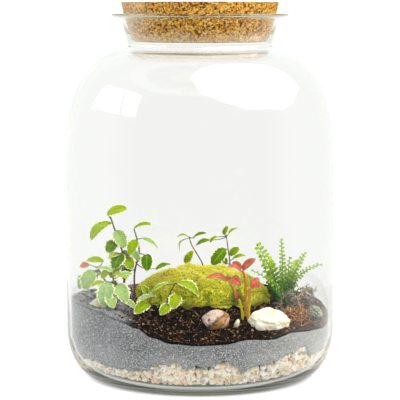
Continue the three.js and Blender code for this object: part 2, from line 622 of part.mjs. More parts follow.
function frondBody({ root, tip, arch, width, pairs, face, open = 0.34 }) {
  const foot = new THREE.Vector3(FERN_ROOT[0] + root[0], FERN_ROOT[1] + root[1], 0);
  foot.z = soilTop(foot.x, foot.y) + 1.5;
  const { length, along, up, across } = bladeAxes(foot.toArray(), tip, face);
  const spot = (share, side) => foot.clone()
    .addScaledVector(along, length * share)
    .addScaledVector(across, side)
    .addScaledVector(up, length * arch * 4 * share * (1 - share));
  // along each rib: a narrow waist, then the two corners of a leaflet, again and again to the tip
  const rows = [[0, FERN_RIB], [FROND_BARE_SHARE, FERN_RIB]];
  const step = (1 - FROND_BARE_SHARE) / pairs;
  for (let pair = 0; pair < pairs; pair += 1) {
    const start = FROND_BARE_SHARE + step * pair;
    const taper = (1 - 0.6 * (pair / pairs) ** 1.5) * Math.min(1, 0.75 + 0.25 * pair);
    const reach = (width / 2) * taper;
    const [near, far] = [step * 0.16, step * (1 - open)];
    rows.push([start + near, reach], [start + far, reach * 0.92], [start + far + near, FERN_RIB]);
  }
  rows.push([1, FERN_RIB / 2]);
  const upper = rows.flatMap(([share, reach]) => [spot(share, -reach), spot(share, reach)]);
  const lower = upper.map((point) => point.clone().addScaledVector(up, -BLADE));
  const half = upper.length;
  const top = [];
  const sides = [];
  for (let row = 0; row < rows.length - 1; row += 1) {
    const a = row * 2;
    top.push([a, a + 1, a + 3], [a, a + 3, a + 2]);
    sides.push([a, a + 2, a + 2 + half], [a, a + 2 + half, a + half]);
    sides.push([a + 1, a + 1 + half, a + 3 + half], [a + 1, a + 3 + half, a + 3]);
  }
  sides.push([0, half, half + 1], [0, half + 1, 1]);
  sides.push([half - 2, half - 1, 2 * half - 1], [half - 2, 2 * half - 1, 2 * half - 2]);
  const bottom = top.map(([a, b, c]) => [a + half, c + half, b + half]);
  const points = [...upper, ...lower].map((point) => point.toArray());
  const leaf = toSolid(faceted(points, [...top, ...bottom, ...sides]));
  return leaf.add(toSolid(rootPeg(foot.x, foot.y, FERN_PEG)));
}

// Right-hand clump: a mat of bark fibre, a tuft of lichen and a tangle of dead roots
const MAT = { centre: [97, -59, 68], size: [26, 30, 17], turn: [0, 0.1, 0.2], seed: 3, material: bark };
const TUFT = { centre: [117, -46, 69], size: [14, 19, 17], turn: [0.1, 0, 0.4], seed: 9, material: lichen };
const ROOT_LOOPS = [
  [[84, -38], [84, -39, 84], [91, -42, 91], [99, -41, 87], [100, -39, 80]],
  [[94, -27], [95, -27, 80], [103, -30, 86], [110, -27, 84], [112, -26, 78]],
  [[115, -24], [115, -24, 82], [117, -25, 94]],
  [[104, -12], [104, -12, 82], [112, -8, 90], [119, -9, 84]],
];

const ROOT_PEG = 1.6;
const ROOT_RADIUS = 1.5;

function rootTangle(route) {
  const [[x, y], ...line] = route;
  const loop = stalk([[x, y, soilTop(x, y) + 1], ...line], ROOT_RADIUS, 5);
  return toSolid(rootPeg(x, y, ROOT_PEG)).add(toSolid(loop));
}

// Everything that is set into the soil leaves its own seat or hole there
const terrarium = new THREE.Group();

function place(name, mesh) {
  mesh.name = name;
  terrarium.add(mesh);
}

const raisedSoil = toSolid(soilBody(GAP));
let pottingSoil = toSolid(soilBody());

place('glass_jar', glassJar());
place('cork_lid', corkLid());
place('gravel_layer', gravelLayer());
place('grit_layer', new THREE.Mesh(gritBody(), grit));

for (const [name, stone] of Object.entries(STONES)) {
  place(name, new THREE.Mesh(stoneGeometry(stone), stone.material));
  pottingSoil = pottingSoil.subtract(toSolid(stoneGeometry({ ...stone, grow: GAP * 1.3 })));
}

place('moss_cushion', new THREE.Mesh(toGeometry(toSolid(mossBody()).subtract(raisedSoil)), moss));

for (const [name, stem] of Object.entries(LEAFY_STEMS)) {
  place(name, new THREE.Mesh(toGeometry(leafyStem(stem)), stem.material));
  pottingSoil = pottingSoil.subtract(toSolid(rootHole(...stem.root, stem.radius)));
}

FRONDS.forEach((frond, index) => {
  place(`fern_frond_${index + 1}`, new THREE.Mesh(toGeometry(frondBody(frond)), fernLeaf));
  const [x, y] = [FERN_ROOT[0] + frond.root[0], FERN_ROOT[1] + frond.root[1]];
  pottingSoil = pottingSoil.subtract(toSolid(rootHole(x, y, FERN_PEG)));
});

for (const [name, clump] of [['bark_mat', MAT], ['lichen_tuft', TUFT]]) {
  const seated = toSolid(stoneGeometry(clump)).subtract(raisedSoil);
  place(name, new THREE.Mesh(toGeometry(seated), clump.material));
}

ROOT_LOOPS.forEach((route, index) => {
  place(`dead_root_${index + 1}`, new THREE.Mesh(toGeometry(rootTangle(route)), rootWood));
  pottingSoil = pottingSoil.subtract(toSolid(rootHole(...route[0], ROOT_PEG)));
});

place('potting_soil', new THREE.Mesh(toGeometry(pottingSoil), soil));

export default terrarium;
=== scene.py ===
import math
import random

import bmesh
import bpy
from mathutils import Matrix, Vector, noise


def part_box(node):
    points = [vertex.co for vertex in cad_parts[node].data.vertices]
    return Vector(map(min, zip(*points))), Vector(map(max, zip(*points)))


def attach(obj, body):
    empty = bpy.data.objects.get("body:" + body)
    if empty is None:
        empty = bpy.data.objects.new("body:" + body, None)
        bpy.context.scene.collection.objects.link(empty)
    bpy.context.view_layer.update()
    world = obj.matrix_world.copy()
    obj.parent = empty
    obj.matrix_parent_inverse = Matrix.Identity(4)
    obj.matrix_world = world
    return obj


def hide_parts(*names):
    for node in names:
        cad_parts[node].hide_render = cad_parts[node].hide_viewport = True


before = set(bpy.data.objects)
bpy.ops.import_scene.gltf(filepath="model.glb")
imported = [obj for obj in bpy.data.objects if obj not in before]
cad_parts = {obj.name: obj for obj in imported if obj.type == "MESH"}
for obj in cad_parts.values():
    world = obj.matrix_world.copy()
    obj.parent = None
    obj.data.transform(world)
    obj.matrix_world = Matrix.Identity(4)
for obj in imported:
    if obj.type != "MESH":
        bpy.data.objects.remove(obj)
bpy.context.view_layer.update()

# The camera looks slightly down at the jar from the front, level with its cork, through a long lens.
CAMERA_PLACE = (0, -1.75, 0.380)
CAMERA_DIP = 6.4047
CAMERA_LENS = 150.98

camera = bpy.data.objects.new("camera", bpy.data.cameras.new("camera"))
bpy.context.scene.collection.objects.link(camera)
camera.location = CAMERA_PLACE
camera.rotation_euler = (math.radians(90 - CAMERA_DIP), 0, 0)
camera.data.lens = CAMERA_LENS
bpy.context.scene.camera = camera
bpy.context.scene.view_settings.view_transform = "Standard"


class Signal:
    """A value on its way through a finish. Arithmetic on it adds the nodes that work it out."""

    def __init__(self, finish, socket):
        self.finish = finish
        self.socket = socket

    def maths(self, operation, *values):
        return self.finish.node("ShaderNodeMath", {"operation": operation}, dict(enumerate(values)))

    def __add__(self, other):
        return self.maths("ADD", self, other)

    def __sub__(self, other):
        return self.maths("SUBTRACT", self, other)

    def __rsub__(self, other):
        return self.maths("SUBTRACT", other, self)

    def __mul__(self, other):
        return self.maths("MULTIPLY", self, other)

    def __truediv__(self, other):
        return self.maths("DIVIDE", self, other)

    def __pow__(self, other):
        return self.maths("POWER", self, other)

    def __abs__(self):
        return self.maths("ABSOLUTE", self)

    __radd__ = __add__
    __rmul__ = __mul__

    def wave(self):
        return self.maths("SINE", self)

    def ramp(self, low, high):
        """0 below low, 1 above high, and even between them."""
        return self.finish.node("ShaderNodeMapRange", {}, {0: self, 1: low, 2: high})


class Finish:
    """The finish of one material, or of the world: the nodes that colour it, and what they end in."""

    def __init__(self, name, world=None):
        self.material = world or bpy.data.materials.new(name)
        self.material.use_nodes = True
        self.tree = self.material.node_tree
        self.tree.nodes.clear()
        self.end = self.tree.nodes.new("ShaderNodeOutputWorld" if world else "ShaderNodeOutputMaterial")

    def node(self, kind, settings={}, sockets={}, out=0):
        """Adds a node, sets it up, feeds its sockets and gives back one of its outputs."""
        made = self.tree.nodes.new(kind)
        for name, value in settings.items():
            if name == "stops":
                while len(made.color_ramp.elements) < len(value):
                    made.color_ramp.elements.new(0.5)
                for stop, (place, colour) in zip(made.color_ramp.elements, value):
                    stop.position = place
                    stop.color = (*colour, 1)
            else:
                setattr(made, name, value)
        for name, value in sockets.items():
            if isinstance(value, Signal):
                self.tree.links.new(value.socket, made.inputs[name])
            elif isinstance(value, tuple) and len(value) == 3 and made.inputs[name].type == "RGBA":
                made.inputs[name].default_value = (*value, 1)
            else:
                made.inputs[name].default_value = value
        return Signal(self, made.outputs[out])

    def place(self):
        """Where a point lies, in metres."""
        return self.node("ShaderNodeTexCoord", out="Object")

    def mark(self, name, out="Vector"):
        """What the mesh notes at each point under that name."""
        return self.node("ShaderNodeAttribute", {"attribute_name": name}, out=out)

    def ray(self, kind):
        """1 for a ray of that kind and 0 for any other, or the number that kind stands for."""
        return self.node("ShaderNodeLightPath", out=kind)

    def away(self, place, centre):
        """How far a place lies from a centre."""
        return self.node("ShaderNodeVectorMath", {"operation": "DISTANCE"}, {0: place, 1: centre}, "Value")

    def parts(self, vector):
        """The three numbers of a vector or a colour."""
        split = self.node("ShaderNodeSeparateXYZ", {}, {0: vector}).socket.node
        return [Signal(self, split.outputs[axis]) for axis in range(3)]

    def reads(self):
        """Where a point lies, in metres, and the three numbers that the mesh notes there."""
        return [self.place(), *self.parts(self.mark("note"))]

    def grain(self, place, size, detail=2.0, roughness=0.5, out="Fac"):
        """Soft random mottling, its patches about size metres across."""
        values = {"Vector": place, "Scale": 1 / size, "Detail": detail, "Roughness": roughness}
        return self.node("ShaderNodeTexNoise", {}, values, out)

    def cells(self, place, size, out="Distance", feature="F1"):
        """Random cells about size metres across."""
        values = {"Vector": place, "Scale": 1 / size}
        return self.node("ShaderNodeTexVoronoi", {"feature": feature}, values, out)

    def mix(self, low, high, share):
        """A colour between two: the first where share is 0, the other where it is 1."""
        return self.node("ShaderNodeMix", {"data_type": "RGBA"}, {0: share, 6: low, 7: high}, 2)

    def colours(self, value, *stops):
        """A colour picked by a value from 0 to 1, from stops of a place and a colour each."""
        return self.node("ShaderNodeValToRGB", {"stops": stops}, {0: value}, 0)

    def relief(self, height, depth, strength=1.0):
        """The normal of a surface that stands out by up to depth metres where height is 1."""
        return self.node("ShaderNodeBump", {}, {"Height": height, "Distance": depth, "Strength": strength})

    def surface(self, **sockets):
        """Ends in a plain surface with these inputs."""
        named = {name.replace("_", " "): value for name, value in sockets.items()}
        self.finish_with(self.node("ShaderNodeBsdfPrincipled", {}, named))

    def finish_with(self, shader, end="Surface"):
        self.tree.links.new(shader.socket, self.end.inputs[end])

    def finish_between(self, low, high, share):
        """Ends in two shaders mixed: the first where share is 0, the other where it is 1."""
        self.finish_with(self.node("ShaderNodeMixShader", {}, {0: share, 1: low, 2: high}))


# The studio: a white room that is dim on the camera's side, a pale floor, a many-sided softbox high
# on the right and a window in two panes on the left, which show on the shoulders of the glass.
SEEN_WHITE = 1.07
ROOM_LIGHT = 0.9
SHOULDER = Vector((0, 0, 0.29))
SOFTBOX_CORNERS = [
    (-0.12, -0.43, 0.90), (0.05, -0.02, 1.0), (0.46, 0.33, 0.82), (0.75, 0.35, 0.56), (0.84, 0.34, 0.43),
    (0.94, -0.01, 0.33), (0.92, -0.23, 0.31), (0.60, -0.69, 0.40), (0.28, -0.79, 0.54), (0, -0.72, 0.69),
]
PANE_CORNERS = [
    [(-0.92, 0.32, 0.21), (-0.84, 0.25, 0.49), (-0.82, -0.15, 0.56), (-0.92, -0.27, 0.28)],
    [(-0.90, -0.32, 0.28), (-0.81, -0.19, 0.56), (-0.71, -0.43, 0.56), (-0.80, -0.52, 0.29)],
]
FLOOR_RADIUS = 0.26
FLOOR_SIDES = 96
FLOOR_GLOW = 0.78
FLOOR_SEEN_MORE = 0.17
FOOT_SHADOW = (0.108, 0.122)


def grey(share):
    return (share, share, share)


world = bpy.data.worlds.new("studio")
bpy.context.scene.world = world
room = Finish("studio", world)
ahead = room.parts(room.node("ShaderNodeTexCoord", out="Generated"))[1]
tone = room.colours(
    ahead * 0.5 + 0.5, (0.22, grey(0.11)), (0.50, grey(0.62)), (0.75, grey(0.80)), (0.95, grey(1.0)),
)
seen = sum(room.ray(kind) for kind in ("Is Camera Ray", "Is Transmission Ray", "Is Glossy Ray"))
soft_light = room.node("ShaderNodeBackground", {}, {"Color": grey(1.0), "Strength": ROOM_LIGHT})
seen_light = room.node("ShaderNodeBackground", {}, {"Color": tone, "Strength": SEEN_WHITE})
room.finish_between(soft_light, seen_light, seen.ramp(0, 1))


def mesh_piece(name, points, faces, finish):
    """A mesh in the scene, its points in metres."""
    mesh = bpy.data.meshes.new(name)
    mesh.from_pydata(points, [], faces)
    mesh.materials.append(finish.material)
    piece = bpy.data.objects.new(name, mesh)
    bpy.context.scene.collection.objects.link(piece)
    return piece


def stage_piece(name, points, faces, finish):
    """A mesh that belongs to the studio and not to the jar."""
    piece = mesh_piece(name, points, faces, finish)


def lit_panel(name, corners, distance, glow, tint):
    """A flat lit panel, its corners seen from the jar's shoulder in the directions given.

    It lights and reflects, and the camera looks through it, so that it hides nothing from any side.
    """
    ways = [Vector(corner).normalized() for corner in corners]
    middle = sum(ways, Vector()).normalized()
    points = [SHOULDER + way * distance / way.dot(middle) for way in ways]
    cloth = Finish(name)
    light = cloth.node("ShaderNodeEmission", {}, {"Color": tint, "Strength": glow})
    unseen = cloth.node("ShaderNodeBsdfTransparent", {}, {"Color": grey(1.0)})
    cloth.finish_between(light, unseen, cloth.ray("Is Camera Ray"))
    stage_piece(name, points, [range(len(points))], cloth)


def ring(radius, sides, height=0):
    """Points round the jar's axis. Their height is a number, or is worked out from x and y."""
    row = []
    for side in range(sides):
        turn = side * math.tau / sides
        x, y = radius * math.cos(turn), radius * math.sin(turn)
        row.append((x, y, height(x, y) if callable(height) else height))
    return row


lit_panel("softbox", SOFTBOX_CORNERS, distance=1.1, glow=4.3, tint=(1.0, 0.985, 0.96))
for number, corners in enumerate(PANE_CORNERS):
    lit_panel(f"window_pane_{number + 1}", corners, distance=1.3, glow=4.0, tint=(0.93, 0.97, 1.0))

paper = Finish("floor_paper")
where = paper.place()
east, north, _ = paper.parts(where)
reach = (east * east + north * north) ** 0.5
fibre = paper.grain(where, 0.004, 3)
paper.surface(
    Base_Color=paper.mix(grey(0.19), grey(0.21), fibre), Roughness=0.9,
    Emission_Color=paper.mix(grey(0), grey(1), reach.ramp(*FOOT_SHADOW)),
    Emission_Strength=paper.ray("Is Camera Ray") * FLOOR_SEEN_MORE + FLOOR_GLOW,
)
stage_piece("paper_floor", ring(FLOOR_RADIUS, FLOOR_SIDES), [range(FLOOR_SIDES)], paper)

# The jar: clear blown glass in one piece, 3 mm thick in the wall and thicker in the base, with a
# ground foot ring, round shoulders, a funnel-shaped neck and a thin flange for a lip.
MM = 0.001
BODY_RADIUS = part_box("glass_jar")[1].x / MM
JAR_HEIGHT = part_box("glass_jar")[1].z / MM
CORK_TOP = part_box("cork_lid")[1].z / MM
CORK_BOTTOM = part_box("cork_lid")[0].z / MM
CORK_TOP_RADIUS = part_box("cork_lid")[1].x / MM
CORK_TAPER = 9.8
CORK_BOTTOM_RADIUS = CORK_TOP_RADIUS - CORK_TAPER
WALL = 3
BASE_GLASS = 9
FOOT_RADIUS = 111
FOOT_WIDTH = 10
WALL_BOTTOM = 46
WALL_TOP = 238
NECK_BOTTOM = 341.5
NECK_FOOT = (CORK_BOTTOM_RADIUS + 3.3, NECK_BOTTOM)
NECK_WALL = 2.8
NECK_GAP = 0.35
LIP_RADIUS = 91.8
BASE_STEPS = 22
SHOULDER_STEPS = 40
JAR_SIDES = 144


class Shape:
    """A mesh under construction, in millimetres. Each point also notes three numbers for its finish."""

    def __init__(self):
        self.points = []
        self.faces = []
        self.notes = []

    def add(self, points, faces, notes=None):
        start = len(self.points)
        self.points.extend(tuple(point) for point in points)
        self.faces.extend(tuple(start + corner for corner in face) for face in faces)
        self.notes.extend(notes or [(0, 0, 0)] * len(points))

    def grid(self, rows, notes=None, closed=False):
        """A sheet of quads over rows of equally many points, or a closed body with both its ends."""
        wide = len(rows[0])
        faces = []
        for row in range(len(rows) - 1):
            for column in range(wide if closed else wide - 1):
                beside = (column + 1) % wide
                a, b = row * wide + column, row * wide + beside
                faces.append((a, b, b + wide, a + wide))
        if closed:
            last = (len(rows) - 1) * wide
            faces += [tuple(reversed(range(wide))), tuple(range(last, last + wide))]
        flat_notes = [note for row in notes for note in row] if notes else None
        self.add([point for row in rows for point in row], faces, flat_notes)

    def make(self, name, node, finish):
        """Makes the piece and puts it in the place of the CAD node."""
        piece = mesh_piece(name, [(x * MM, y * MM, z * MM) for x, y, z in self.points], self.faces, finish)
        layer = piece.data.attributes.new("note", "FLOAT_VECTOR", "POINT")
        layer.data.foreach_set("vector", [number for note in self.notes for number in note])
        piece.data.polygons.foreach_set("use_smooth", [True] * len(self.faces))
        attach(piece, "root")
        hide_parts(node)


def curve(corners, steps):
    """Points of a Bezier curve from the first corner to the last, without the last."""
    a, b, c, d = (Vector(corner) for corner in corners)
    line = []
    for step in range(steps):
        t = step / steps
        line.append((1 - t) ** 3 * a + 3 * (1 - t) ** 2 * t * b + 3 * (1 - t) * t * t * c + t ** 3 * d)
    return line


def between(low, high, share):
    return low + (high - low) * share


def cork_radius(height):
    """The cork's radius at a height, or what its taper would make it there."""
    return between(CORK_BOTTOM_RADIUS, CORK_TOP_RADIUS, (height - CORK_BOTTOM) / (CORK_TOP - CORK_BOTTOM))


def neck_bore(height):
    """The neck's inner radius, just wider than the cork."""
    return cork_radius(height) + NECK_GAP


foot_turn = [(FOOT_RADIUS, 0), (FOOT_RADIUS + 17, 3), (BODY_RADIUS - 1, 23), (BODY_RADIUS, WALL_BOTTOM)]
shoulder_turn = [(BODY_RADIUS, WALL_TOP), (BODY_RADIUS, 275), (BODY_RADIUS - 12, 338), NECK_FOOT]
outer_wall = [
    *curve(foot_turn, BASE_STEPS),
    *[Vector((BODY_RADIUS, height)) for height in (WALL_BOTTOM, 110, 175)],
    *curve(shoulder_turn, SHOULDER_STEPS),
    Vector(NECK_FOOT),
]
inner_wall = []
for index, point in enumerate(outer_wall):
    before = outer_wall[max(index - 1, 0)]
    after = outer_wall[min(index + 1, len(outer_wall) - 1)]
    along = (after - before).normalized()
    thickness = between(BASE_GLASS, WALL, math.sqrt(min(index / BASE_STEPS, 1)))
    inner_wall.append(Vector((point.x - along.y * thickness, point.y + along.x * thickness)))

jar_profile = [
    (0.01, 4.5),
    (40, 4.2),
    (FOOT_RADIUS - FOOT_WIDTH - 4, 1.5),
    (FOOT_RADIUS - FOOT_WIDTH, 0.0),
    *outer_wall[:-1],
    (CORK_BOTTOM_RADIUS + 4.4, NECK_BOTTOM + 0.9),
    (neck_bore(NECK_BOTTOM + 4) + NECK_WALL, NECK_BOTTOM + 4),
    (neck_bore(JAR_HEIGHT - 7) + NECK_WALL, JAR_HEIGHT - 7),
    (neck_bore(JAR_HEIGHT - 7) + 4.2, JAR_HEIGHT - 5),
    (LIP_RADIUS - 8, JAR_HEIGHT - 4),
    (LIP_RADIUS - 0.8, JAR_HEIGHT - 2.8),
    (LIP_RADIUS - 0.2, JAR_HEIGHT - 2.2),
    (LIP_RADIUS, JAR_HEIGHT - 1.4),
    (LIP_RADIUS - 0.2, JAR_HEIGHT - 0.6),
    (LIP_RADIUS - 0.8, JAR_HEIGHT),
    (cork_radius(JAR_HEIGHT) + 1.9, JAR_HEIGHT),
    (cork_radius(JAR_HEIGHT) + 1.0, JAR_HEIGHT - 0.5),
    (neck_bore(JAR_HEIGHT - 1.8), JAR_HEIGHT - 1.8),
    (neck_bore(CORK_BOTTOM), CORK_BOTTOM),
    (CORK_BOTTOM_RADIUS, NECK_BOTTOM + 2),
    *reversed(inner_wall[:-1]),
    (60, inner_wall[0].y),
    (0.01, inner_wall[0].y),
]
jar = Shape()
jar.grid([ring(radius, JAR_SIDES, height) for radius, height in jar_profile], closed=True)

glass = Finish("clear_blown_glass")
ripple = glass.grain(glass.place(), 0.09, 1)
gloss = glass.node("ShaderNodeBsdfPrincipled", {}, {
    "Base Color": glass.mix((0.98, 0.985, 0.985), grey(0.99), ripple), "Roughness": 0.0, "IOR": 1.43,
    "Transmission Weight": 1.0, "Normal": glass.relief(ripple, 0.0006),
})
passing = glass.node("ShaderNodeBsdfTransparent", {}, {"Color": (0.97, 0.98, 0.98)})
spent = glass.ray("Ray Depth").ramp(4, 5)
through = (glass.ray("Is Shadow Ray") + glass.ray("Is Diffuse Ray") + spent).ramp(0, 1)
glass.finish_between(gloss, passing, through)
green_depth = glass.node("ShaderNodeVolumeAbsorption", {}, {"Color": (0.50, 0.55, 0.28), "Density": 14.0})
glass.finish_with(green_depth, "Volume")
jar.make("blown_glass_jar", "glass_jar", glass)

# The gravel: rounded drainage stones, cream, white, pinkish tan and some grey, that lie on the
# jar's bottom and stand in rows against the glass, higher in some places than in others.
FILL_RADIUS = 136.2
FILL_GAP = 0.35
GRAVEL_LEVEL = 30
GRAVEL_RIM = [
    (-180, 30), (-90, 28), (-67, 27), (-53, 30), (-44, 26), (-26, 26), (-20, 33), (-11, 38),
    (-6, 33), (5, 33), (11, 41), (18, 28), (33, 35), (43, 41), (50, 46), (56, 34), (90, 32),
    (130, 27), (180, 30),
]
GRAVEL_PEAK = 50
GRAVEL_STEP = 6.2
GRAVEL_FIRST_ROW = 2.6
GRAVEL_ROW_RISE = GRAVEL_STEP * 0.72
GRAVEL_PROUD = 2.5
GRAVEL_SIZES = (6, 12.5)
GRAVEL_FORMS = 16
GRAVEL_FLATS = 11
EDGE_SHARPNESS = 9
CORE_INSET = 8.5
CORE_DEPTH = 3
CORE_TOP_RADIUS = 90
CORE_SIDES = 72


def along_rim(table, degrees):
    """The height in a rim table at an angle from the front, eased between its entries."""
    after = next(index for index, entry in enumerate(table) if index > 0 and entry[0] >= degrees)
    (a0, h0), (a1, h1) = table[after - 1], table[after]
    share = (degrees - a0) / (a1 - a0)
    return between(h0, h1, share * share * (3 - 2 * share))


def around(turn, reach=1):
    """The x and y of a point at a turn round the jar's axis from the front, and at that reach."""
    return reach * math.sin(turn), -reach * math.cos(turn)


def front_angle(x, y):
    """Degrees from the front round the jar's axis, more than 0 on the right."""
    return math.degrees(math.atan2(x, -y))


def rim_share(x, y):
    """How far out a point lies, from 0 on the axis to 1 at the glass."""
    return min(math.hypot(x, y) / FILL_RADIUS, 1)


def gravel_top(x, y):
    """The height of the gravel's upper side."""
    angle = front_angle(x, y)
    jag = 1.6 * math.sin(angle * 0.61) * math.cos(angle * 1.37)
    return GRAVEL_LEVEL + (along_rim(GRAVEL_RIM, angle) + jag - GRAVEL_LEVEL) * rim_share(x, y) ** 6


def fill_radius(height):
    """How far the filling reaches at a height, a little inside the glass."""
    after = next(index for index, point in enumerate(inner_wall) if index > 0 and point.y >= height)
    low, high = inner_wall[after - 1], inner_wall[after]
    share = max(0, (height - low.y) / (high.y - low.y))
    return min(between(low.x, high.x, share) - FILL_GAP, FILL_RADIUS)


def jolt(draw, spread=1):
    """A random step, as likely one way as any other."""
    return Vector((draw.gauss(0, spread), draw.gauss(0, spread), draw.gauss(0, spread)))


def stretched(vector, lengths):
    """A vector with each of its parts taken that many times."""
    return Vector([part * length for part, length in zip(vector, lengths)])


def taken_apart(form):
    """The points and faces of a form, which is freed."""
    form.verts.index_update()
    points = [vert.co.copy() for vert in form.verts]
    faces = [[vert.index for vert in face.verts] for face in form.faces]
    form.free()
    return points, faces


def worn_stone(draw, flats):
    """A river stone about 1 across: a ball cut down by flats, the edges between them worn round."""
    form = bmesh.new()
    bmesh.ops.create_icosphere(form, subdivisions=2, radius=1)
    cuts = [(jolt(draw).normalized(), draw.uniform(0.30, 0.48)) for _ in range(flats)]
    for vert in form.verts:
        way = vert.co.normalized()
        near = [max(way.dot(cut), 0) / depth for cut, depth in cuts]
        cut_in = 0.5 ** -EDGE_SHARPNESS + sum(share ** EDGE_SHARPNESS for share in near)
        vert.co = way * cut_in ** (-1 / EDGE_SHARPNESS)
    return taken_apart(form)


def stone_chip(draw, corners):
    """One broken crumb, about 1 across."""
    form = bmesh.new()
    for _ in range(corners):
        form.verts.new(jolt(draw).normalized() * draw.uniform(0.42, 0.5))
    hull = bmesh.ops.convex_hull(form, input=form.verts)
    left_over = hull["geom_interior"] + hull["geom_unused"]
    loose = {part for part in left_over if isinstance(part, bmesh.types.BMVert)}
    bmesh.ops.delete(form, geom=list(loose), context="VERTS")
    return taken_apart(form)


def lay(shape, form, place, size, draw, note):
    """Puts one chip into the shape, turned at random."""
    turn = Matrix.Rotation(draw.uniform(0, math.tau), 3, Vector((draw.gauss(0, 1), draw.gauss(0, 1), 1)))
    points, faces = form
    placed = [Vector(place) + turn @ stretched(point, size) for point in points]
    shape.add(placed, faces, [note] * len(points))


draw = random.Random(11)
gravel_forms = [worn_stone(draw, GRAVEL_FLATS) for _ in range(GRAVEL_FORMS)]
gravel_bed = Shape()
bed_floor = inner_wall[0].y + FILL_GAP
# A dark core body fills the bed behind the stones, so that the gaps between them show dark: painted shade.
shade_core_rows = []
for share in (0, 0.35, 0.7, 1):
    row = []
    for x, y, _ in ring(FILL_RADIUS, CORE_SIDES):
        height = between(bed_floor + 1, gravel_top(x, y) - CORE_DEPTH, share)
        inward = (fill_radius(height) - CORE_INSET) / FILL_RADIUS
        row.append((x * inward, y * inward, height))
    shade_core_rows.append(row)
shade_core_rows.append(ring(CORE_TOP_RADIUS, CORE_SIDES, GRAVEL_LEVEL))
gravel_bed.grid(shade_core_rows, [[(0.5, 0.15, 1)] * CORE_SIDES for _ in shade_core_rows], closed=True)
height = bed_floor + GRAVEL_FIRST_ROW
while height < GRAVEL_PEAK:
    count = round(math.tau * fill_radius(height) / GRAVEL_STEP)
    shift = draw.random()
    for place in range(count):
        turn = (place + shift + draw.uniform(-0.25, 0.25)) * math.tau / count
        x, y = around(turn)
        size = draw.uniform(*GRAVEL_SIZES)
        lift = height + draw.uniform(-1.2, 1.2)
        if lift + size * 0.3 > gravel_top(x * FILL_RADIUS, y * FILL_RADIUS) + GRAVEL_PROUD:
            continue
        lowest = max(lift - size / 2, bed_floor + 0.1)
        out = min(fill_radius(lowest), fill_radius(lift + size / 2)) - size / 2
        spread = (size, size * draw.uniform(0.65, 1), size)
        note = (draw.random(), draw.random(), 0)
        spot = (x * out, y * out, max(lift, bed_floor + size / 2))
        lay(gravel_bed, draw.choice(gravel_forms), spot, spread, draw, note)
    height += GRAVEL_ROW_RISE

pebbles = Finish("drainage_pebbles")
where, kind, shade, core_shade = pebbles.reads()
stone_hue = pebbles.colours(
    kind,
    (0.0, (0.96, 0.86, 0.66)), (0.22, (0.98, 0.94, 0.84)), (0.38, (0.88, 0.58, 0.34)),
    (0.50, (0.95, 0.68, 0.48)), (0.60, (0.99, 0.97, 0.92)), (0.72, (0.62, 0.52, 0.40)),
    (0.80, (0.36, 0.32, 0.28)), (0.88, (0.94, 0.76, 0.46)), (1.0, (0.96, 0.86, 0.68)),
)
speck = pebbles.grain(where, 0.0009, 3)
cloud = pebbles.grain(where, 0.004, 2)
worn = pebbles.mix(stone_hue, (0.95, 0.92, 0.86), cloud.ramp(0.45, 0.75) * 0.6)
dusty = pebbles.mix(worn, (0.34, 0.24, 0.15), speck.ramp(0.56, 0.72) * 0.6)
sifted = pebbles.grain(where, 0.0045, 4, 0.6).ramp(0.54, 0.62)
dusty = pebbles.mix(dusty, (0.15, 0.14, 0.14), sifted * 0.6)
# The core body is painted near black brown: painted shade in the gaps between the stones.
pebbles.surface(
    Base_Color=pebbles.mix(dusty, (0.07, 0.05, 0.03), core_shade * 0.95), Roughness=0.55 + shade * 0.3,
    Normal=pebbles.relief(speck * 0.6 + cloud * 0.4, 0.0004, 0.8),
)
gravel_bed.make("drainage_gravel", "gravel_layer", pebbles)

# The grit: fine grey crushed stone between the gravel and the soil, poured in and pressed against
# the glass, where it stands higher than the soil in the middle.
GRIT_LEVEL = 50
SOIL_RIM = [
    (-180, 76), (-135, 76), (-105, 80), (-90, 82), (-60, 85), (-47, 83), (-37, 78), (-27, 72),
    (-20, 64), (-12, 59), (0, 57.5), (10, 58.5), (20, 62), (32, 60), (42, 64), (55, 62), (68, 60),
    (90, 67), (115, 72), (150, 76), (180, 76),
]
SOIL_BAND = 2.5
GRIT_UNDER = (60, 118)
GRIT_OVER = (126, 60)
GRIT_COLUMNS = 540
GRIT_ROWS = 34


def grit_top(x, y):
    """The height of the grit's upper side."""
    rim = along_rim(SOIL_RIM, front_angle(x, y)) - SOIL_BAND
    return GRIT_LEVEL + (rim - GRIT_LEVEL) * rim_share(x, y) ** 8


def rough(x, y, z, size, seed=0.0):
    """Soft noise from -1 to 1, its lumps about size millimetres across."""
    return noise.noise(Vector((x / size + seed, y / size, z / size)))


grit_fill = Shape()
grit_rows = []
for row in range(GRIT_ROWS + 1):
    points = []
    for x, y, _ in ring(FILL_RADIUS, GRIT_COLUMNS):
        bottom = gravel_top(x, y) + 0.4 + 3.2 * rough(x, y, 0, 5.5) + 1.2 * rough(x, y, 0, 2.3, 4)
        height = between(bottom, grit_top(x, y) + 0.5 * rough(x, y, 0, 3, 9), row / GRIT_ROWS)
        pit = 0.35 * (1 + rough(x, y, height, 2.2)) + 0.25 * (1 + rough(x, y, height, 9, 2))
        inward = (fill_radius(height) - pit) / FILL_RADIUS
        points.append((x * inward, y * inward, height))
    grit_rows.append(points)
grit_under = [ring(radius, GRIT_COLUMNS, lambda x, y: gravel_top(x, y) + 1) for radius in GRIT_UNDER]
grit_over = [ring(radius, GRIT_COLUMNS, grit_top) for radius in GRIT_OVER]
grit_fill.grid([*grit_under, *grit_rows, *grit_over], closed=True)

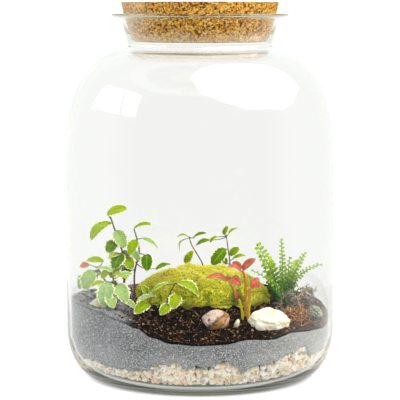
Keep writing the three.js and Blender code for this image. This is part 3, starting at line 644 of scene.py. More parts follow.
crushed = Finish("crushed_grey_grit")
where = crushed.place()
grain_hue = crushed.parts(crushed.cells(where, 0.00075, "Color"))[0]
speck_hue = crushed.parts(crushed.cells(where, 0.0010, "Color"))[1]
body = crushed.colours(
    grain_hue, (0.0, (0.07, 0.07, 0.078)), (0.5, (0.21, 0.21, 0.22)), (1.0, (0.50, 0.50, 0.52)),
)
drift = crushed.grain(where, 0.03, 3)
body = crushed.mix(body, (0.34, 0.34, 0.36), drift.ramp(0.4, 0.7) * 0.6)
# Paler towards the right side: a painted haze of light over the grit there.
body = crushed.mix(body, (0.56, 0.55, 0.52), crushed.parts(where)[0].ramp(0.04, 0.12) * 0.65)
pale = speck_hue.ramp(0.90, 0.96)
crushed.surface(
    Base_Color=crushed.mix(body, (0.80, 0.78, 0.74), pale * 0.7), Roughness=0.7 + grain_hue * 0.25,
    Specular_IOR_Level=0.0, Normal=crushed.relief(grain_hue * 0.7 + speck_hue * 0.3, 0.0006),
)
grit_fill.make("grey_grit", "grit_layer", crushed)

# The potting soil: dark crumbly humus with bark crumbs and pale bits, heaped at the back and the
# left and hollowed a little at the front, where nothing grows. Grit is strewn over its left rim.
SOIL_LEVEL = 78
SOIL_HOLLOW = {"centre": (-45, -80), "depth": 7, "reach": 35}
SOIL_UNDER = (FILL_RADIUS * 0.4, 120)
SOIL_COLUMNS = 300
SOIL_ROWS = 66
CRUMBS = 3600
CRUMB_FORMS = 12
CRUMB_REACH = 133
FIBRES = 160
FIBRE_REACH = (40, 122)
FIBRE_RADII = (0.3, 0.35, 0.33, 0.3, 0.26, 0.15)
LITTER = {"centre": (104, -50), "reach": 17, "limit": 128, "count": 420}
MOSS_CENTRE = (1, 8)
MOSS_REACH = (73, 51)
MOSS_CLEARING = 0.93


def soil_top(x, y):
    """The height of the soil, as if it were smooth."""
    rim = along_rim(SOIL_RIM, front_angle(x, y))
    lumps = 1.8 * math.sin(x * 0.21 + 1) * math.cos(y * 0.17) + 1.2 * math.sin(x * 0.43 + y * 0.37)
    hx, hy = SOIL_HOLLOW["centre"]
    hollow = SOIL_HOLLOW["depth"] * math.exp(-((x - hx) ** 2 + (y - hy) ** 2) / SOIL_HOLLOW["reach"] ** 2)
    share = rim_share(x, y)
    return SOIL_LEVEL + (rim - SOIL_LEVEL) * share ** 1.8 + (lumps - hollow) * (1 - share ** 4)


def crumbly_top(x, y):
    """The height of the soil with its lumps."""
    calm = 1 - 0.6 * rim_share(x, y) ** 10
    lumps = 2.0 * rough(x, y, 0, 9) + 1.1 * rough(x, y, 0, 3.6, 5) + 0.5 * rough(x, y, 0, 1.6, 8)
    return soil_top(x, y) + (lumps - 0.3) * calm


def tube(shape, line, radii, sides, notes):
    """A round stalk along a line, as thick at each point as radii says."""
    rows = []
    side = None
    for index, point in enumerate(line):
        ahead = (line[min(index + 1, len(line) - 1)] - line[max(index - 1, 0)]).normalized()
        side = side or ahead.orthogonal()
        side = (side - ahead * side.dot(ahead)).normalized()
        over = ahead.cross(side)
        turns = [corner * math.tau / sides for corner in range(sides)]
        rows.append([point + (side * math.cos(t) + over * math.sin(t)) * radii[index] for t in turns])
    shape.grid(rows, [[note] * sides for note in notes], closed=True)


def inside_jar(point, clearance=1.2):
    """The same point, brought in where it would touch the glass."""
    reach = math.hypot(point.x, point.y)
    most = fill_radius(point.z) - clearance
    if reach > most:
        point = Vector((point.x * most / reach, point.y * most / reach, point.z))
    return point


def resting(line, ground, lift):
    """A line kept above the ground by that lift, and inside the glass."""
    return [inside_jar(Vector((p.x, p.y, max(p.z, ground(p.x, p.y) + lift)))) for p in line]


def wander(draw, start, way, length, steps, curl):
    """A line that wanders from its start, as a loose fibre lies."""
    line = [Vector(start)]
    way = Vector(way).normalized()
    for _ in range(steps):
        way = (way + jolt(draw, curl)).normalized()
        line.append(line[-1] + way * (length / steps))
    return line


humus = Shape()
soil_rows = [
    ring(SOIL_UNDER[0], SOIL_COLUMNS, grit_top),
    ring(SOIL_UNDER[1], SOIL_COLUMNS, lambda x, y: grit_top(x, y) + 0.5),
]
for share in (0.5, 1):
    row = []
    for x, y, _ in ring(FILL_RADIUS, SOIL_COLUMNS):
        height = between(grit_top(x, y) + 0.6, crumbly_top(x, y), share)
        inward = (fill_radius(height) - 0.3 - 0.3 * rough(x, y, height, 3)) / FILL_RADIUS
        row.append((x * inward, y * inward, height))
    soil_rows.append(row)
for row in range(1, SOIL_ROWS):
    reach = FILL_RADIUS * (1 - row / SOIL_ROWS) ** 0.9
    soil_rows.append(ring(max(reach, 0.5) - 0.6 * (row == 1), SOIL_COLUMNS, crumbly_top))
humus.grid(soil_rows, closed=True)
draw = random.Random(23)
crumb_forms = [stone_chip(draw, 9) for _ in range(CRUMB_FORMS)]
laid = 0
while laid < CRUMBS:
    turn = draw.uniform(0, math.tau)
    reach = CRUMB_REACH * math.sqrt(draw.random())
    x, y = around(turn, reach)
    from_moss = math.hypot((x - MOSS_CENTRE[0]) / MOSS_REACH[0], (y - MOSS_CENTRE[1]) / MOSS_REACH[1])
    if from_moss < MOSS_CLEARING:
        continue
    size = 1.0 + 2.6 * draw.random() ** 4
    inward = min(1, (fill_radius(soil_top(x, y)) - size) / math.hypot(x, y))
    x, y = x * inward, y * inward
    note = (draw.random(), draw.random(), 1)
    spread = (size * draw.uniform(0.8, 1.5), size, size * draw.uniform(0.6, 1))
    lay(humus, draw.choice(crumb_forms), (x, y, crumbly_top(x, y) + size * 0.15), spread, draw, note)
    laid += 1
for number in range(FIBRES + LITTER["count"]):
    turn = draw.uniform(0, math.tau)
    reach = draw.uniform(*FIBRE_REACH)
    x, y = around(turn, reach)
    if number >= FIBRES:
        x, y = (draw.gauss(middle, LITTER["reach"]) for middle in LITTER["centre"])
        inward = min(1, LITTER["limit"] / math.hypot(x, y))
        x, y = x * inward, y * inward
    heading = (draw.gauss(0, 1), draw.gauss(0, 1), 0.02)
    line = wander(draw, (x, y, crumbly_top(x, y) + 0.7), heading, length=8, steps=5, curl=0.3)
    note = (0.68 + 0.26 * draw.random(), 0.5, 1)
    tube(humus, resting(line, crumbly_top, 0.2), FIBRE_RADII, 4, [note] * len(line))

earth = Finish("potting_humus")
where, kind, shade, loose = earth.reads()
clod = earth.grain(where, 0.0045, 4, 0.6)
fleck = earth.parts(earth.cells(where, 0.0017, "Color"))[0]
ground = earth.mix((0.003, 0.0022, 0.002), (0.022, 0.013, 0.008), clod.ramp(0.42, 0.68))
east = earth.parts(where)[0]
ground = earth.mix(ground, (0.15, 0.085, 0.05), east.ramp(0.07, 0.13) * clod.ramp(0.3, 0.6))
ground = earth.mix(ground, (0.24, 0.12, 0.06), fleck.ramp(0.86, 0.92) * clod.ramp(0.42, 0.56))
grit_hue = earth.parts(earth.cells(where, 0.0011, "Color"))[1]
strewn_grit = earth.mix((0.07, 0.07, 0.08), (0.42, 0.42, 0.44), grit_hue)
left_rim = ((clod - 0.5) * 0.04 - east).ramp(0.064, 0.082)
ground = earth.mix(ground, strewn_grit, left_rim)
crumb = earth.colours(
    kind,
    (0.0, (0.004, 0.003, 0.0025)), (0.50, (0.014, 0.008, 0.005)), (0.68, (0.09, 0.042, 0.018)),
    (0.82, (0.26, 0.13, 0.055)), (0.93, (0.62, 0.42, 0.25)), (1.0, (0.90, 0.80, 0.66)),
)
earth.surface(
    Base_Color=earth.mix(ground, crumb, loose), Roughness=0.75 + shade * 0.2,
    Specular_IOR_Level=0.0, Normal=earth.relief(clod * 0.6 + fleck * 0.4, 0.0011),
)
humus.make("potting_humus", "potting_soil", earth)

# The stones that lie on the soil: a banded river pebble, a broken piece of white quartz with a
# chip of it beside it, and a small cream stone against the glass at the left.
STONES = {
    "banded_pebble": {"centre": (16, -94, 72), "size": (30, 22, 21), "turn": (0.1, 0.12, 0.1), "seed": 1},
    "white_stone": {
        "centre": (70, -89, 70), "size": (40, 25, 27), "turn": (0, 0.1, 0.2), "seed": 4, "peak": 0.35,
    },
    "white_chip": {"centre": (36.5, -92, 67), "size": (6, 7, 13), "turn": (0.2, 0.3, 0), "seed": 2},
    "cream_stone": {"centre": (-106, -64, 82), "size": (12, 12, 15), "turn": (0, 0.2, 0.4), "seed": 7},
}


def stone_body(shape, stone, fineness, roughness):
    """A stone of its own form: a ball pulled out of round, then broken by pits and flats."""
    seed, peak = stone["seed"], stone.get("peak", 0)
    half = [length / 2 for length in stone["size"]]
    turn = Matrix.Identity(3)
    for angle, axis in zip(stone["turn"], "XYZ"):
        turn = turn @ Matrix.Rotation(angle, 3, axis)
    ball = bmesh.new()
    bmesh.ops.create_icosphere(ball, subdivisions=fineness, radius=1)
    ball.verts.index_update()
    points = []
    for vert in ball.verts:
        x, y, z = vert.co
        swell = 1 + 0.09 * math.sin(x * 3.1 + seed) + 0.07 * math.cos(y * 4.3 - seed * 2 + z * 2)
        flats = noise.voronoi(Vector((x * 1.3 + seed, y * 1.3, z * 1.3)))[0]
        swell += roughness * (0.35 * (flats[1] - flats[0]) - 0.12)
        swell += roughness * 0.10 * noise.fractal(Vector((x * 3, y * 3 + seed, z * 3)), 1.0, 2.0, 4)
        x, y, z = x * swell, y * swell, z * swell
        z *= 1 + peak * (0.5 - abs(x + 0.1))
        points.append(Vector(stone["centre"]) + turn @ stretched((x, y, z), half))
    notes = [tuple(vert.co) for vert in ball.verts]
    shape.add(points, [[vert.index for vert in face.verts] for face in ball.faces], notes)
    ball.free()


banded = Finish("banded_river_pebble")
where, across, _, up = banded.reads()
wobble = banded.grain(where, 0.006, 3)
band = (across * 0.8 - up * 0.55 + (wobble - 0.5) * 0.5) * 0.5 + 0.60
hues = banded.colours(
    band,
    (0.0, (0.46, 0.32, 0.27)), (0.26, (0.74, 0.58, 0.50)), (0.44, (0.66, 0.46, 0.36)),
    (0.50, (0.10, 0.06, 0.025)), (0.56, (0.30, 0.20, 0.08)), (0.66, (0.62, 0.24, 0.06)),
    (0.72, (0.26, 0.17, 0.06)), (0.80, (0.70, 0.44, 0.28)), (0.88, (0.46, 0.16, 0.05)),
    (1.0, (0.16, 0.12, 0.06)),
)
spot = banded.away(banded.mark("note"), (-0.62, -0.70, 0.28)) + (wobble - 0.5) * 0.2
hues = banded.mix(hues, (0.12, 0.05, 0.03), 1 - spot.ramp(0.10, 0.26))
upright = banded.node("ShaderNodeVectorMath", {"operation": "MULTIPLY"}, {0: where, 1: (1.0, 1.0, 0.25)})
streaks = banded.grain(upright, 0.0016, 2)
hues = banded.mix(hues, (0.13, 0.08, 0.05), streaks.ramp(0.54, 0.68) * 0.65)
banded.surface(Base_Color=hues, Roughness=0.45 + wobble * 0.3, Normal=banded.relief(streaks, 0.0003))

quartz = Finish("white_quartz")
where = quartz.place()
stain = quartz.grain(where, 0.011, 4, 0.6)
pit = quartz.cells(where, 0.0032)
fine = quartz.grain(where, 0.0016, 4, 0.65)
cream = quartz.mix((0.97, 0.92, 0.75), (0.84, 0.68, 0.36), stain.ramp(0.48, 0.70))
cream = quartz.mix(cream, (0.52, 0.38, 0.22), fine.ramp(0.60, 0.74) * stain.ramp(0.4, 0.6) * 0.8)
quartz.surface(
    Base_Color=quartz.mix(cream, (0.99, 0.97, 0.88), fine.ramp(0.3, 0.5) * 0.25), Roughness=0.5 + fine * 0.3,
    Normal=quartz.relief(pit * 0.4 + fine * 0.6, 0.0009),
)

for name, stone in STONES.items():
    rock = Shape()
    fineness = 4 if stone["size"][0] < 20 else 6
    roughness, slot, finish = 0.6, "pale_stone", quartz
    if name == "banded_pebble":
        roughness, slot, finish = 0.35, "banded_stone", banded
    stone_body(rock, stone, fineness, roughness)
    rock.make("natural_" + name, name, finish)

# The moss: one springy cushion of yellow-green moss behind the stones, pressed onto the soil. Its
# thousands of shoots stand up and out of small mounds, orange at some of their tips. Painted shade
# makes them dark green in the hollows between them and at their feet, and near black at the notch.
MOSS_RISE = 35
MOSS_COLUMNS = 180
MOSS_ROWS = 46
MOSS_SHOOTS = 15500
MOSS_STEP = 1.2
MOSS_FOOT = SOIL_LEVEL - 4
MOSS_FRINGE = 2.4
MOSS_NOTCH = {"centre": (34, -36), "depth": 17, "shade": (0.039, -0.036, 0.086)}


def moss_height(x, y):
    """The height of the moss's upper side, under its shoots."""
    across = (x - MOSS_CENTRE[0]) / (MOSS_REACH[0] - MOSS_FRINGE)
    deep = (y - MOSS_CENTRE[1]) / (MOSS_REACH[1] - MOSS_FRINGE)
    out = min(across ** 2 + deep ** 2, 1)
    lumps = 2.6 * math.sin(x * 0.16 + 0.6) * math.sin(y * 0.19 + 1) + 2.8 * rough(x, y, 0, 13, 1)
    near = noise.voronoi(Vector((x / 11 + 0.5 * rough(x, y, 0, 20, 2), y / 11, 0.3)))[0][0]
    mounds = 3.4 * (0.55 - near)
    nx, ny = MOSS_NOTCH["centre"]
    notch = MOSS_NOTCH["depth"] * math.exp(-((x - nx) / 8) ** 2 - ((y - ny) / 14) ** 2)
    crown = MOSS_RISE - 3.5 + lumps + mounds + 1.4 * rough(x, y, 0, 5, 3) - notch
    return SOIL_LEVEL + crown * (1 - out) ** 0.55


def moss_point(share, turn):
    """A point on the moss: its share of the way from the middle to the edge, and its direction."""
    wobble = (1 + 0.05 * math.sin(turn * 5 + 1)) * share
    x = MOSS_CENTRE[0] + (MOSS_REACH[0] - MOSS_FRINGE) * wobble * math.cos(turn)
    y = MOSS_CENTRE[1] + (MOSS_REACH[1] - MOSS_FRINGE) * wobble * math.sin(turn)
    return Vector((x, y, max(moss_height(x, y), MOSS_FOOT)))


cushion = Shape()
moss_rows = []
for row in range(MOSS_ROWS):
    share = max(1 - row / (MOSS_ROWS - 1), 0.004) ** 0.8
    moss_rows.append([moss_point(share, column * math.tau / MOSS_COLUMNS) for column in range(MOSS_COLUMNS)])
foot_row = [Vector((point.x, point.y, MOSS_FOOT - 2)) for point in moss_rows[0]]
moss_notes = [[(0, 0.5, 0.5)] * MOSS_COLUMNS for _ in range(MOSS_ROWS + 1)]
cushion.grid([foot_row, *moss_rows], moss_notes, closed=True)
draw = random.Random(31)
for _ in range(MOSS_SHOOTS):
    turn = draw.uniform(0, math.tau)
    share = math.sqrt(draw.random()) ** 0.9
    foot = moss_point(share, turn)
    slope_x = moss_height(foot.x + MOSS_STEP, foot.y) - moss_height(foot.x - MOSS_STEP, foot.y)
    slope_y = moss_height(foot.x, foot.y + MOSS_STEP) - moss_height(foot.x, foot.y - MOSS_STEP)
    out = Vector((-slope_x, -slope_y, 2 * MOSS_STEP)).normalized()
    lean = Vector((draw.gauss(0, 0.45), draw.gauss(0, 0.45), draw.gauss(0.15, 0.25)))
    way = (out + lean).normalized()
    length = draw.uniform(1.8, 4.4)
    side = way.orthogonal().normalized()
    over = way.cross(side)
    wide = draw.uniform(0.28, 0.55)
    warmth = 0.5 + 0.5 * rough(foot.x, foot.y, 0, 16, 6) + draw.uniform(-0.3, 0.3)
    waist = foot + way * length * 0.45
    corners = [side * wide, (side * -0.5 + over * 0.87) * wide, (side * -0.5 - over * 0.87) * wide]
    points = [foot - way * 1.2, *[waist + corner for corner in corners], foot + way * length]
    faces = [(0, 2, 1), (0, 3, 2), (0, 1, 3), (4, 1, 2), (4, 2, 3), (4, 3, 1)]
    rise = (foot.z - SOIL_LEVEL) / MOSS_RISE
    cushion.add(points, faces, [(0, warmth, rise), *[(0.55, warmth, rise)] * 3, (1, warmth, rise)])

springy = Finish("cushion_moss")
where, tip, warmth, rise = springy.reads()
patch = springy.grain(where, 0.012, 3)
leafy = springy.grain(where, 0.0012, 2)
# The shoots' feet and the cushion under them are dark green in patches, beside their own gold: painted shade
# between the shoots.
foot_hue_and_shade = springy.mix((0.10, 0.10, 0.008), (0.94, 0.88, 0.05), leafy.ramp(0.32, 0.46))
green = springy.mix((0.92, 0.86, 0.04), (1.0, 0.94, 0.14), patch.ramp(0.35, 0.6))
gold = springy.mix(green, (1.0, 0.84, 0.18), warmth.ramp(0.4, 0.9))
gold = springy.mix((0.72, 0.76, 0.015), gold, (rise + (patch - 0.5) * 0.8).ramp(0.25, 0.75))
shoot = springy.mix(foot_hue_and_shade, gold, (tip + (leafy - 0.5) * 0.5).ramp(-0.1, 0.32))
# Darker patches between the tufts, fewer high up on the cushion: painted shade.
tuft_shade = springy.grain(where, 0.0032, 3, 0.6).ramp(0.54, 0.60) * (1 - rise.ramp(0.45, 0.9) * 0.7)
shoot = springy.mix(shoot, (0.22, 0.28, 0.004), tuft_shade * 0.8)
# Darker green low down between the mounds: painted shade in the hollows.
hollow = (1 - rise.ramp(0.30, 0.80)) * springy.grain(where, 0.007, 3).ramp(0.50, 0.62)
shoot = springy.mix(shoot, (0.11, 0.17, 0.006), hollow * 0.8)
shoot = springy.mix(shoot, (0.86, 0.50, 0.10), (tip * warmth).ramp(0.72, 0.95) * 0.8)
# A near black patch round the notch in the moss's front: painted shade in the gap there.
notch_away = springy.away(where, MOSS_NOTCH["shade"]) + (patch - 0.5) * 0.012
gap = 1 - notch_away.ramp(0.005, 0.013)
springy.surface(
    Base_Color=springy.mix(shoot, (0.030, 0.026, 0.010), gap * 0.9), Roughness=0.75,
    Specular_IOR_Level=0.0, Sheen_Weight=0.8, Sheen_Roughness=0.6, Sheen_Tint=(1.0, 0.92, 0.22),
    Normal=springy.relief(leafy, 0.0006),
)
cushion.make("moss_shoots", "moss_cushion", springy)

# The creeping fig: thin woody stems with small leaves, green inside a cream margin with a toothed
# edge. It stands in the soil at the left, in front of the moss and behind it.
UPWARD = (0, -0.4, 1)
FORWARD = (0, -1, 0.6)
LEAF_THICK = 0.45
LEAF_ROWS = 24
LEAF_COLUMNS = 14
NECK_SHARE = 0.1
STEM_NOTE = 3
PETIOLE = 0.55
YOUNG, DEEP, PALE, FLUSHED = 0, 1, 2, 3
FIG_HABIT = {"thin": 0.55, "knobs": 0.25, "teeth": 6, "tooth_depth": 0.30, "quilt": 0.22}


class Leaf:
    """A leaf that leaves its stem at a height, and whose blade runs from its neck to its tip."""

    def __init__(self, at, neck, tip, width, arch=0.12, fold=0.12, face=FORWARD, hue=YOUNG):
        self.at, self.neck, self.width, self.arch, self.fold = at, Vector(neck), width, arch, fold
        self.hue = hue
        self.along = Vector(tip) - self.neck
        self.length = self.along.length
        self.along.normalize()
        self.up = Vector(face) - self.along * Vector(face).dot(self.along)
        self.up.normalize()
        self.across = self.along.cross(self.up)

    def spot(self, share, side, edge=1.0, curl=0.0):
        """A point of the upper face: its share of the length, and its side of the rib, -1 to 1."""
        spread = max(math.sin(math.pi * share ** 0.85), 0) ** 0.62
        lift = self.length * self.arch * 4 * share * (1 - share)
        lift += abs(side) * self.width * self.fold * spread + curl
        reach = side * self.width / 2 * max(spread * edge, 0.015)
        return self.neck + self.along * self.length * share + self.across * reach + self.up * lift


def blade(shape, leaf, draw, teeth, tooth_depth, quilt):
    """The blade: both faces as one closed sheet, puckered between its side veins."""
    tint = (leaf.hue + 0.8 * draw.random()) / 4
    skew = draw.uniform(-0.4, 0.4)
    start_tooth = draw.random()
    top, under, notes = [], [], []
    for row in range(LEAF_ROWS + 1):
        share = row / LEAF_ROWS
        upper, lower, marks = [], [], []
        for column in range(LEAF_COLUMNS + 1):
            side = 2 * column / LEAF_COLUMNS - 1
            beat = share * teeth + start_tooth + 0.3 * math.copysign(1, side)
            jag = (1.2 + 0.8 * math.sin(beat * 2.3)) * (beat % 1 - 0.5)
            edge = 1 + tooth_depth * jag * abs(side) ** 3 * min(1, 4 * (1 - share))
            veins = math.sin(math.tau * (share * teeth - abs(side) * 1.4))
            ripple = math.sin(share * 7 + skew * 9 + side * 2) * abs(side) ** 2 * leaf.width * 0.045
            curl = quilt * veins * (1 - abs(side)) * math.sin(math.pi * share) + ripple
            point = leaf.spot(share, side, edge, curl)
            thick = LEAF_THICK * (0.35 + 0.65 * (1 - abs(side)) + 0.5 * (abs(side) < 0.1))
            upper.append(point)
            lower.append(point - leaf.up * thick)
            marks.append((side, share, tint))
        top.append(upper)
        under.append(lower)
        notes.append(marks)
    start = len(shape.points)
    shape.grid(top, notes)
    size = (LEAF_ROWS + 1) * (LEAF_COLUMNS + 1)
    shape.add([point for row in under for point in row], [], [note for row in notes for note in row])
    wide = LEAF_COLUMNS + 1
    for row in range(LEAF_ROWS):
        for column in range(LEAF_COLUMNS):
            a = start + size + row * wide + column
            shape.faces.append((a, a + wide, a + wide + 1, a + 1))
    rim = [*range(wide), *range(2 * wide - 1, size, wide), *range(size - 2, size - wide - 1, -1)]
    rim += range(size - 2 * wide, 0, -wide)
    for here, there in zip(rim, rim[1:] + rim[:1]):
        shape.faces.append((start + here, start + size + here, start + size + there, start + there))


def smooth_line(corners, steps):
    """A smooth line through the corners, with that many steps between each two of them."""
    corners = [Vector(corner) for corner in corners]
    ends = [corners[0] * 2 - corners[1], *corners, corners[-1] * 2 - corners[-2]]
    line = []
    for index in range(1, len(ends) - 2):
        a, b, c, d = ends[index - 1:index + 3]
        for step in range(steps):
            t = step / steps
            line.append(0.5 * (2 * b + (c - a) * t + (2 * a - 5 * b + 4 * c - d) * t ** 2
                               + (3 * b - a - 3 * c + d) * t ** 3))
    return [*line, ends[-2]]


def leafy_stem(shape, stem, draw, thin, knobs, teeth, tooth_depth, quilt):
    """A stem with its leaves, each on a petiole that leaves the stem at the leaf's height."""
    x, y = stem["root"]
    ground = soil_top(x, y)
    line = smooth_line([(x, y, ground - 6), (x, y, ground + 4), *stem["stem"]], 7)
    radii = []
    for index in range(len(line)):
        taper = between(1, thin, index / (len(line) - 1))
        radii.append(stem["radius"] * taper * (1 + knobs * (index % 5 == 0)))
    radii[-1] *= 0.6
    tint = draw.random()
    notes = [(STEM_NOTE, index / (len(line) - 1), tint) for index in range(len(line))]
    tube(shape, line, radii, 8, notes)
    for leaf in stem["leaves"]:
        above = next((index for index in range(1, len(line)) if line[index].z >= leaf.at), len(line) - 1)
        low, high = line[above - 1], line[above]
        joint = low.lerp(high, min(max((leaf.at - low.z) / (high.z - low.z), 0), 1))
        neck = leaf.spot(NECK_SHARE, 0) - leaf.up * LEAF_THICK * 0.5
        gap = (neck - joint).length
        middle = (joint + neck) / 2 + Vector((0, 0, -0.06 * gap)) + leaf.along * -0.12 * gap
        petiole = smooth_line([joint, middle, neck], 4)
        shades = [(STEM_NOTE, 0.6 + 0.4 * index / 8, tint) for index in range(9)]
        tube(shape, petiole, [PETIOLE * between(1.15, 0.6, index / 8) for index in range(9)], 6, shades)
        blade(shape, leaf, draw, teeth, tooth_depth, quilt)


FIG_STEMS = {
    "left_fig_main_stem": {
        "root": (-78, -38), "radius": 1.3,
        "stem": [(-78, -38, 110), (-77, -38, 124), (-81, -38, 138), (-88, -38, 159), (-92, -38, 171)],
        "leaves": [
            Leaf(168, (-95, -39, 173), (-74, -44, 180), 14, arch=0.1, face=(0, -1, 1)),
            Leaf(164, (-91, -39, 165), (-112, -46, 147), 14, arch=0.22, face=(0, -0.8, 1)),
            Leaf(157, (-86, -40, 157), (-77, -46, 139), 15, hue=PALE),
            Leaf(147, (-86, -40, 146), (-95, -46, 134), 14, hue=DEEP),
            Leaf(133, (-81, -40, 133), (-88, -52, 118), 16, hue=DEEP),
            Leaf(128, (-76, -40, 129), (-69, -48, 117), 13),
            Leaf(130, (-78, -36, 136), (-75, -33, 124), 8, hue=PALE),
            Leaf(135, (-82, -42, 132), (-94, -50, 129), 9, face=UPWARD),
            Leaf(117, (-83, -34, 116), (-94, -28, 107), 12),
        ],
    },
    "left_fig_right_branch": {
        "root": (-68, -22), "radius": 1.1,
        "stem": [(-68, -23, 110), (-63, -29, 132), (-65, -34, 147), (-68, -36, 158)],
        "leaves": [
            Leaf(157, (-68, -37, 158), (-49, -42, 163), 10, face=UPWARD),
            Leaf(146, (-66, -38, 147), (-72, -47, 132), 12),
            Leaf(147, (-61, -34, 148), (-43, -38, 137), 8, face=(0.3, -0.4, 1), hue=PALE),
            Leaf(131, (-55, -34, 131), (-54, -46, 115), 14, hue=DEEP),
            Leaf(127, (-69, -32, 134), (-62, -40, 124), 8, hue=PALE),
            Leaf(120, (-46, -14, 112), (-30, -10, 117), 9, face=UPWARD, hue=DEEP),
            Leaf(122, (-72, -20, 121), (-88, -14, 115), 12, hue=PALE),
            Leaf(114, (-72, -16, 112), (-82, -8, 102), 12, hue=DEEP),
        ],
    },
    "left_fig_low_spray": {
        "root": (-94, -34), "radius": 1.1,
        "stem": [(-94, -34, 96), (-99, -36, 106), (-106, -38, 119)],
        "leaves": [
            Leaf(118, (-98, -44, 125), (-117, -46, 126), 10, arch=0.1, face=(0, -0.8, 1)),
            Leaf(115, (-110, -46, 117), (-117, -53, 96), 17, hue=PALE),
            Leaf(117, (-115, -28, 120), (-124, -34, 117), 8, hue=FLUSHED),
            Leaf(114, (-119, -20, 109), (-125, -28, 93), 11, hue=PALE),
            Leaf(111, (-92, -26, 119), (-76, -22, 126), 10, face=UPWARD),
            Leaf(104, (-92, -44, 104), (-84, -54, 97), 10, hue=DEEP),
            Leaf(108, (-104, -28, 110), (-112, -18, 102), 11, hue=PALE),
        ],
    },
    "left_fig_front_spray": {
        "root": (-85, -64), "radius": 1.1,
        "stem": [(-85, -64, 92), (-86, -64, 104), (-90, -63, 116)],
        "leaves": [
            Leaf(108, (-92, -70, 108), (-97, -82, 84), 18, hue=PALE),
            Leaf(103, (-82, -70, 106), (-73, -86, 88), 15, hue=PALE),
            Leaf(110, (-84, -68, 112), (-67, -74, 116), 10, face=UPWARD, hue=PALE),
            Leaf(115, (-88, -62, 117), (-104, -64, 121), 9, face=UPWARD, hue=PALE),
            Leaf(96, (-79, -73, 89), (-64, -86, 83), 9, face=UPWARD, hue=PALE),
            Leaf(101, (-97, -70, 108), (-109, -72, 103), 9, face=UPWARD),
            Leaf(99, (-91, -76, 96), (-86, -88, 84), 12, hue=PALE),
            Leaf(112, (-92, -58, 116), (-101, -50, 110), 10),
            Leaf(111, (-89, -52, 113), (-73, -58, 109), 10, face=UPWARD),
            Leaf(106, (-93, -62, 107), (-102, -64, 96), 11),
        ],
    },
    "front_fig_spray": {
        "root": (-33, -63), "radius": 1.1,
        "stem": [(-33, -63, 88), (-30, -68, 97), (-25, -73, 107)],
        "leaves": [
            Leaf(107, (-23, -75, 108), (-1, -84, 95), 13, arch=0.2, face=(0.3, -0.6, 1)),
            Leaf(106, (-28, -75, 107), (-50, -83, 98), 10, face=(-0.2, -0.1, 1)),
            Leaf(101, (-22, -80, 97), (-28, -88, 83), 14),
            Leaf(95, (-30, -84, 87), (-40, -92, 78), 11),
        ],
    },
    "front_fig_low_spray": {
        "root": (-51, -66), "radius": 1,
        "stem": [(-51, -66, 86), (-50, -69, 93)],
        "leaves": [
            Leaf(89, (-51, -77, 87), (-66, -88, 78), 13, fold=0.3),
            Leaf(91, (-44, -72, 94), (-64, -84, 89), 8, face=UPWARD, hue=PALE),
            Leaf(93, (-53, -70, 96), (-59, -72, 105), 7),
        ],
    },
    "back_fig_stem": {
        "root": (5, 84), "radius": 0.9,
        "stem": [(5, 84, 92), (2, 84, 105), (-9, 83, 124), (-12, 82, 134)],
        "leaves": [
            Leaf(132, (-13, 81, 132), (-22, 77, 118), 6, arch=0.3, face=(-1, 0, 1)),
            Leaf(133, (-13, 82, 134), (-25, 78, 134), 5, arch=0.2, face=UPWARD),
            Leaf(133, (-8, 81, 132), (8, 78, 138), 8, face=UPWARD, hue=DEEP),
        ],
    },
    "back_fig_tall_stem": {
        "root": (33, 84), "radius": 0.9,
        "stem": [(33, 84, 92), (33, 84, 106), (31, 84, 121), (29, 83, 136)],
        "leaves": [
            Leaf(134, (31, 82, 136), (42, 80, 144), 6, face=UPWARD),
            Leaf(135, (26, 83, 136), (31, 82, 146), 6),
            Leaf(134, (19, 81, 134), (11, 79, 128), 7, face=UPWARD),
            Leaf(133, (12, 80, 130), (-5, 78, 124), 9, face=UPWARD, hue=DEEP),
            Leaf(120, (28, 80, 121), (13, 72, 103), 16, hue=DEEP),
            Leaf(113, (33, 80, 114), (44, 76, 122), 10),
            Leaf(107, (35, 82, 108), (51, 78, 113), 8, face=UPWARD),
            Leaf(103, (30, 82, 104), (22, 76, 111), 8, hue=DEEP),
        ],
    },
    "back_fig_sprout": {
        "root": (-16, 66), "radius": 0.9,
        "stem": [(-16, 66, 92), (-16, 66, 106)],
        "leaves": [Leaf(105, (-16, 65, 106), (-7, 62, 122), 9)],
    },
}

variegated = Finish("variegated_fig_leaf")
where, across, along, tint = variegated.reads()
edge = abs(across)
blotch = variegated.grain(where, 0.0045, 3, 0.6)
mottle = variegated.grain(where, 0.0026, 3, 0.6)
cell = variegated.grain(where, 0.0011, 2)
tip_edge = along.ramp(0.55, 1.02)
rim = edge.maths("MAXIMUM", edge, tip_edge)
cream = (rim + (blotch - 0.5) * 0.45 + (cell - 0.5) * 0.30).ramp(0.80, 0.87)
vein_wave = abs(((along * 7 - edge * 1.4) * math.tau * 0.5).wave())
vein = (1 - vein_wave.ramp(0, 0.22)) * (1 - edge.ramp(0.5, 0.9))
midrib = 1 - edge.ramp(0.03, 0.09)
green = variegated.colours(
    tint,
    (0.0, (0.36, 0.46, 0.0)), (0.22, (0.22, 0.36, 0.0)), (0.25, (0.04, 0.15, 0.0)),
    (0.47, (0.12, 0.25, 0.002)), (0.50, (0.38, 0.54, 0.15)), (0.72, (0.29, 0.46, 0.25)),
    (0.75, (0.66, 0.17, 0.14)),
)
green = variegated.mix(green, (0.52, 0.62, 0.01), blotch.ramp(0.50, 0.72) * 0.35)
green = variegated.mix(green, (0.05, 0.14, 0.01), mottle.ramp(0.50, 0.66) * 0.4)
green = variegated.mix(green, (0.52, 0.62, 0.04), (vein * 0.25 + midrib * 0.4).ramp(0, 1))
leaf_hue = variegated.mix(green, (0.95, 0.93, 0.58), cream)
